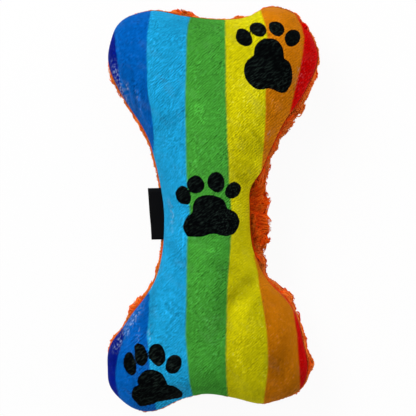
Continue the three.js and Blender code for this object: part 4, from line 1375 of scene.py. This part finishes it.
def lay_stitches(name, centres, headings, stitch_length):
    """A row of stitches at centres, each along its heading"""
    row = bmesh.new()
    for _ in centres:
        append_copy(row, stitch_shape())
    piece = finished_object(row, name)
    shape = mesh_places(piece).reshape(len(centres), -1, 3)
    headings = unit(headings)
    aside = unit(np.cross(headings, (0, 0, 1.0)))
    upward = np.cross(aside, headings)
    arch = (1 - (2 * shape[..., 0]) ** 2) * STITCH_ARCH
    places = centres[:, None] + headings[:, None] * shape[..., 0:1] * stitch_length * MM
    places = places + aside[:, None] * shape[..., 1:2] * THREAD_RADIUS * MM
    raised = shape[..., 2:3] * THREAD_FLATNESS + arch[..., None]
    places = places + upward[:, None] * raised * THREAD_RADIUS * MM
    move_vertices(piece, places.reshape(-1, 3))
    return piece


# %% Sew the two rows
STITCH_LINE = 3.45
STITCH_PITCH = 3.0
MACHINE_STITCH = 2.7
HAND_STITCH = 2.5
HAND_SLANT = 0.22
CLOSING_LENGTH = 48
CLOSING_ALONG = -0.46
thread_low, thread_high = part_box("seam_thread")
stitch_line = toy_places(edge_line - edge_normal * STITCH_LINE, 0)
stitch_line[:, 2] = (thread_low.z + thread_high.z) / 2
stitch_line = closed(stitch_line)
stitch_reach = run_along(stitch_line)
stitch_count = round(stitch_reach[-1] / (STITCH_PITCH * MM))


def along_seam(reach):
    """Places on the stitch line at reaches along it"""
    reach = reach % stitch_reach[-1]
    return np.stack([np.interp(reach, stitch_reach, stitch_line[:, axis]) for axis in range(3)], axis=-1)


stitch_at = (np.arange(stitch_count) + 0.5) / stitch_count * stitch_reach[-1]
centres = along_seam(stitch_at)
headings = unit(along_seam(stitch_at + 0.5 * MM) - along_seam(stitch_at - 0.5 * MM))
from_closing = np.abs(centres[:, 1] - TOY_Y - CLOSING_ALONG * HALF_LENGTH * MM)
by_hand = (centres[:, 0] > TOY_X) & (from_closing < CLOSING_LENGTH / 2 * MM)
slanting = headings + HAND_SLANT * np.cross(headings, (0, 0, 1.0))
seam_stitches = lay_stitches("seam_stitches", centres[~by_hand], headings[~by_hand], MACHINE_STITCH)
closing_stitches = lay_stitches("closing_stitches", centres[by_hand], slanting[by_hand], HAND_STITCH)
spun = Finish("spun_thread", (216, 106, 36), 0.7, {"Sheen Weight": 0.1})
plies = spun.streaks((0.6, 0.4, 0.8), (900, 3600, 3600))
spun.mottle(plies, (170, 70, 16), (232, 128, 56))
spun.raise_grain((plies, 0.6, 0.1))
for stitches, node in ((seam_stitches, "seam_thread"), (closing_stitches, "closing_thread")):
    spun.dress(stitches)
    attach(stitches, "stuffed_bone")
    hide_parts(node)
print("stitches by machine:", int((~by_hand).sum()), "by hand:", int(by_hand.sum()))

# %% [markdown]
# ## The fibre filling
# Loose polyester fibre is packed in clumps round the squeakers. Each clump starts from a copy of its solid,
# is remade in even small faces, drawn in a little so that the cloth clears it, and then teased into soft
# lumps, which are larger than the hairs and keep the clump from looking moulded.

# %% Tease the clumps
FIBRE_NODES = ["shank_fill", "upper_left_fill", "upper_right_fill", "lower_left_fill", "lower_right_fill"]
FIBRE_VOXEL = 3.6 * MM
FIBRE_IN = 3.0
LARGE_LUMP = 17 * MM
SMALL_LUMP = 8 * MM
LARGE_RISE = 1.1
SMALL_RISE = 0.5
wadding = Finish("fibre_wadding", (240, 238, 232), 0.95, {"Sheen Weight": 0.3})
wadding_hairs = wadding.streaks((0.3, 0.5, 0.7), (300, 1500, 1500), detail=4)
wadding_tufts = wadding.streaks(NO_TURN, (130, 130, 130), detail=3)
wadding.mottle(wadding_hairs, (214, 211, 204), (250, 249, 245), 0.65)
wadding.raise_grain((wadding_hairs, 0.6, 0.5), (wadding_tufts, 0.6, 1.5))


def lumps(places, size):
    """Soft waves from -1 to 1 that repeat at no small distance"""
    x, y, z = (places * 2 * math.pi / size).T
    first = np.sin(x + 1.9 * np.sin(y * 0.8)) * np.sin(z * 1.1 + y)
    second = np.sin(y * 1.3 + 1.4 * np.sin(z)) * np.sin(x * 0.9 - z)
    return (first + second) / 2


for node in FIBRE_NODES:
    clump_bm = bmesh.new()
    clump_bm.from_mesh(frame["nodes"][node].data)
    bmesh.ops.remove_doubles(clump_bm, verts=clump_bm.verts, dist=0.00001)
    clump = finished_object(clump_bm, node + "_clump")
    bake_modifier(clump, "REMESH", mode="VOXEL", voxel_size=FIBRE_VOXEL)
    places = mesh_places(clump)
    teased = LARGE_RISE * lumps(places, LARGE_LUMP) + SMALL_RISE * lumps(places + 0.01, SMALL_LUMP)
    push_out(clump, teased - FIBRE_IN)
    bake_modifier(clump, "SUBSURF", levels=1, render_levels=1)
    wadding.dress(clump)
    clump.data.shade_smooth()
    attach(clump, "stuffed_bone")
    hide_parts(node)
    print(clump.name, "faces:", len(clump.data.polygons))

# %% [markdown]
# ## The squeakers
# A squeaker is a blow-moulded bellows with a whistle pressed into its neck, and the bellows shortens as the
# whistle sinks. The bellows is turned from one closed profile with rounded pleats and stays with the bag,
# and the whistle rides on its own body.

# %% Profile of the bellows, in millimetres
BELLOWS_RADIUS = 21
PLEAT_DEPTH = 3.6
PLEAT_PITCH = 6.4
PLEAT_LAND = 1.4
PLEAT_COUNT = 3
BELLOWS_WALL = 1.2
NECK_RADIUS = 6.2
NECK_LENGTH = 4
inner_radius = BELLOWS_RADIUS - BELLOWS_WALL
inner_neck = NECK_RADIUS - BELLOWS_WALL
shoulder = PLEAT_COUNT * PLEAT_PITCH + PLEAT_LAND
neck_top = shoulder + NECK_LENGTH
outside = [(0, 0)]
inside = [(0, BELLOWS_WALL)]
for k in range(PLEAT_COUNT + 1):
    height = k * PLEAT_PITCH
    low = BELLOWS_WALL if k == 0 else height
    high = height + PLEAT_LAND - (BELLOWS_WALL if k == PLEAT_COUNT else 0)
    outside += [(BELLOWS_RADIUS, height), (BELLOWS_RADIUS, height + PLEAT_LAND)]
    inside += [(inner_radius, low), (inner_radius, high)]
    if k < PLEAT_COUNT:
        valley = height + (PLEAT_PITCH + PLEAT_LAND) / 2
        outside.append((BELLOWS_RADIUS - PLEAT_DEPTH, valley))
        inside.append((inner_radius - PLEAT_DEPTH, valley))
outside += [(NECK_RADIUS, shoulder), (NECK_RADIUS, neck_top)]
inside += [(inner_neck, shoulder - BELLOWS_WALL), (inner_neck, neck_top)]
bellows_profile = outside + inside[::-1]

# %% Profile of the whistle sleeve, in millimetres
WHISTLE_GAP = 0.3
WHISTLE_FLANGE = 1.4
WHISTLE_LENGTH = 11
WHISTLE_WALL = 1
SLEEVE_CHAMFER = 0.6
sleeve_radius = inner_neck - WHISTLE_GAP
sleeve_bore = sleeve_radius - WHISTLE_WALL
sleeve_seat = neck_top + WHISTLE_GAP
sleeve_top = sleeve_seat + WHISTLE_FLANGE
sleeve_foot = sleeve_top - WHISTLE_LENGTH
sleeve_profile = [
    (sleeve_bore, sleeve_foot), (sleeve_radius - SLEEVE_CHAMFER, sleeve_foot),
    (sleeve_radius, sleeve_foot + SLEEVE_CHAMFER), (sleeve_radius, sleeve_seat),
    (NECK_RADIUS, sleeve_seat), (NECK_RADIUS, sleeve_top), (sleeve_bore, sleeve_top),
]
print("sleeve bore, mm:", round(2 * sleeve_bore, 1))

# %% Plastics
milky = Finish("soft_plastic", (232, 229, 220), 0.42, {"Subsurface Weight": 0.15, "Subsurface Scale": 0.004})
glossy = Finish("hard_plastic", (222, 222, 219), 0.3, {})
film = Finish("reed_film", (203, 214, 222), 0.18, {})
flow = milky.streaks(NO_TURN, (60, 60, 220), detail=3)
moulded = glossy.streaks(NO_TURN, (500, 500, 500), detail=3)
film_marks = film.streaks((0, 0, 0.3), (250, 2500, 250))
milky.mottle(flow, (222, 218, 206), (238, 236, 230))
glossy.mottle(moulded, (214, 214, 210), (228, 228, 226))
film.mottle(film_marks, (194, 206, 215), (212, 222, 229))
milky.give("Roughness", milky.remap(flow, 0.3, 0.7, 0.36, 0.5))
glossy.give("Roughness", glossy.remap(moulded, 0.3, 0.7, 0.25, 0.36))
film.give("Roughness", film.remap(film_marks, 0.3, 0.7, 0.12, 0.3))
milky.raise_grain((flow, 0.15, 0.3))
glossy.raise_grain((moulded, 0.1, 0.1))

# %% Turn the bellows and the whistle sleeves
TURN_STEPS = 72
BELLOWS_ROUNDING = 0.35
SLEEVE_ROUNDING = 0.15


def turned_piece(name, profile, centre, rounding, whole_loop):
    """A profile of (radius, height) pairs, its corners rounded, turned about an upright axis"""
    bm = bmesh.new()
    verts = [bm.verts.new((radius * MM, 0, height * MM)) for radius, height in profile]
    for pair in zip(verts[:-1], verts[1:]):
        bm.edges.new(pair)
    if whole_loop:
        bm.edges.new((verts[-1], verts[0]))
    corners = [vert for vert in verts if len(vert.link_edges) == 2 and vert.co.x > 0.0001]
    rounded = {"affect": "VERTICES", "segments": 3, "profile": 0.5, "material": -1}
    bmesh.ops.bevel(bm, geom=corners, offset=rounding * MM, **rounded)
    bmesh.ops.spin(bm, geom=list(bm.verts) + list(bm.edges), axis=(0, 0, 1), cent=(0, 0, 0),
                   angle=2 * math.pi, steps=TURN_STEPS, use_merge=True)
    bmesh.ops.remove_doubles(bm, verts=bm.verts, dist=0.000005)
    bmesh.ops.recalc_face_normals(bm, faces=bm.faces)
    bmesh.ops.translate(bm, vec=centre, verts=bm.verts)
    return finished_object(bm, name)


for end in ("upper", "lower"):
    low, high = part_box(end + "_bellows")
    centre = Vector(((low.x + high.x) / 2, (low.y + high.y) / 2, low.z))
    bellows = turned_piece(end + "_pleated_bellows", bellows_profile, centre, BELLOWS_ROUNDING, False)
    milky.dress(bellows)
    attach(bellows, "stuffed_bone")
    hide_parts(end + "_bellows")
    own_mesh(bellows)
    sleeve = turned_piece(end + "_turned_sleeve", sleeve_profile, centre, SLEEVE_ROUNDING, True)
    glossy.dress(sleeve)
    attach(sleeve, end + "_whistle")
    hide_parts(end + "_whistle_sleeve")
    glossy.dress(frame["nodes"][end + "_reed_board"])
    film.dress(frame["nodes"][end + "_reed"])
    print(bellows.name, "faces:", len(bellows.data.polygons), "sleeve faces:", len(sleeve.data.polygons))

# %% [markdown]
# ## Floor, light and backdrop
# The toy lies on a white floor. Soft light from the upper left shapes it, and an even pale sky fills the
# rest. The sky and the floor look white to the camera without more light falling on the toy.

# %% Floor and light
FLOOR_SIDE = 6.0
FLOOR_WHITE = (0.86, 0.86, 0.86, 1)
FLOOR_GLOW = 0.94
LAMPS_AIM = Vector((0, 0, 0.03))
floor_bm = bmesh.new()
bmesh.ops.create_grid(floor_bm, x_segments=1, y_segments=1, size=FLOOR_SIDE / 2)
floor = finished_object(floor_bm, "floor")
white = Finish("floor_white", (255, 255, 255), 0.9, {})
white.shader.inputs["Base Color"].default_value = FLOOR_WHITE
glow = white.node("Emission", {"Color": (255, 255, 255), "Strength": 1.0}).outputs[0]
glow_share = white.times(white.node("LightPath", {}).outputs["Is Camera Ray"], FLOOR_GLOW)
seen_floor = white.node("MixShader", {0: glow_share, 1: white.shader.outputs[0], 2: glow}).outputs[0]
white.feed(white.tree.nodes["Material Output"].inputs["Surface"], seen_floor)
white.dress(floor)


def soft_light(name, place, size, watts):
    """A square lamp that faces the toy"""
    lamp_data = bpy.data.lights.new(name, "AREA")
    lamp_data.shape = "SQUARE"
    lamp_data.size = size
    lamp_data.energy = watts
    lamp = bpy.data.objects.new(name, lamp_data)
    bpy.context.scene.collection.objects.link(lamp)
    lamp.location = place
    lamp.rotation_euler = (Vector(place) - LAMPS_AIM).to_track_quat("Z", "Y").to_euler()


soft_light("key", (-0.55, 1.0, 1.0), 0.8, 15.0)
soft_light("fill", (1.0, 0.5, 1.1), 1.2, 5)

# %% Sky
SKY_FILL = 0.5
sky = bpy.data.worlds.new("sky")
bpy.context.scene.world = sky
sky.use_nodes = True
sky_maker = NodeMaker(sky.node_tree)
background = sky.node_tree.nodes["Background"]
ray = sky_maker.node("LightPath", {}).outputs
sky_seen = sky_maker.maths("MAXIMUM", ray["Is Camera Ray"], ray["Is Glossy Ray"])
sky_maker.feed(background.inputs["Strength"], sky_maker.remap(sky_seen, 0, 1, SKY_FILL, 1))
sky_maker.feed(background.inputs["Color"], (255, 255, 255))
bpy.context.scene.view_settings.view_transform = "Standard"
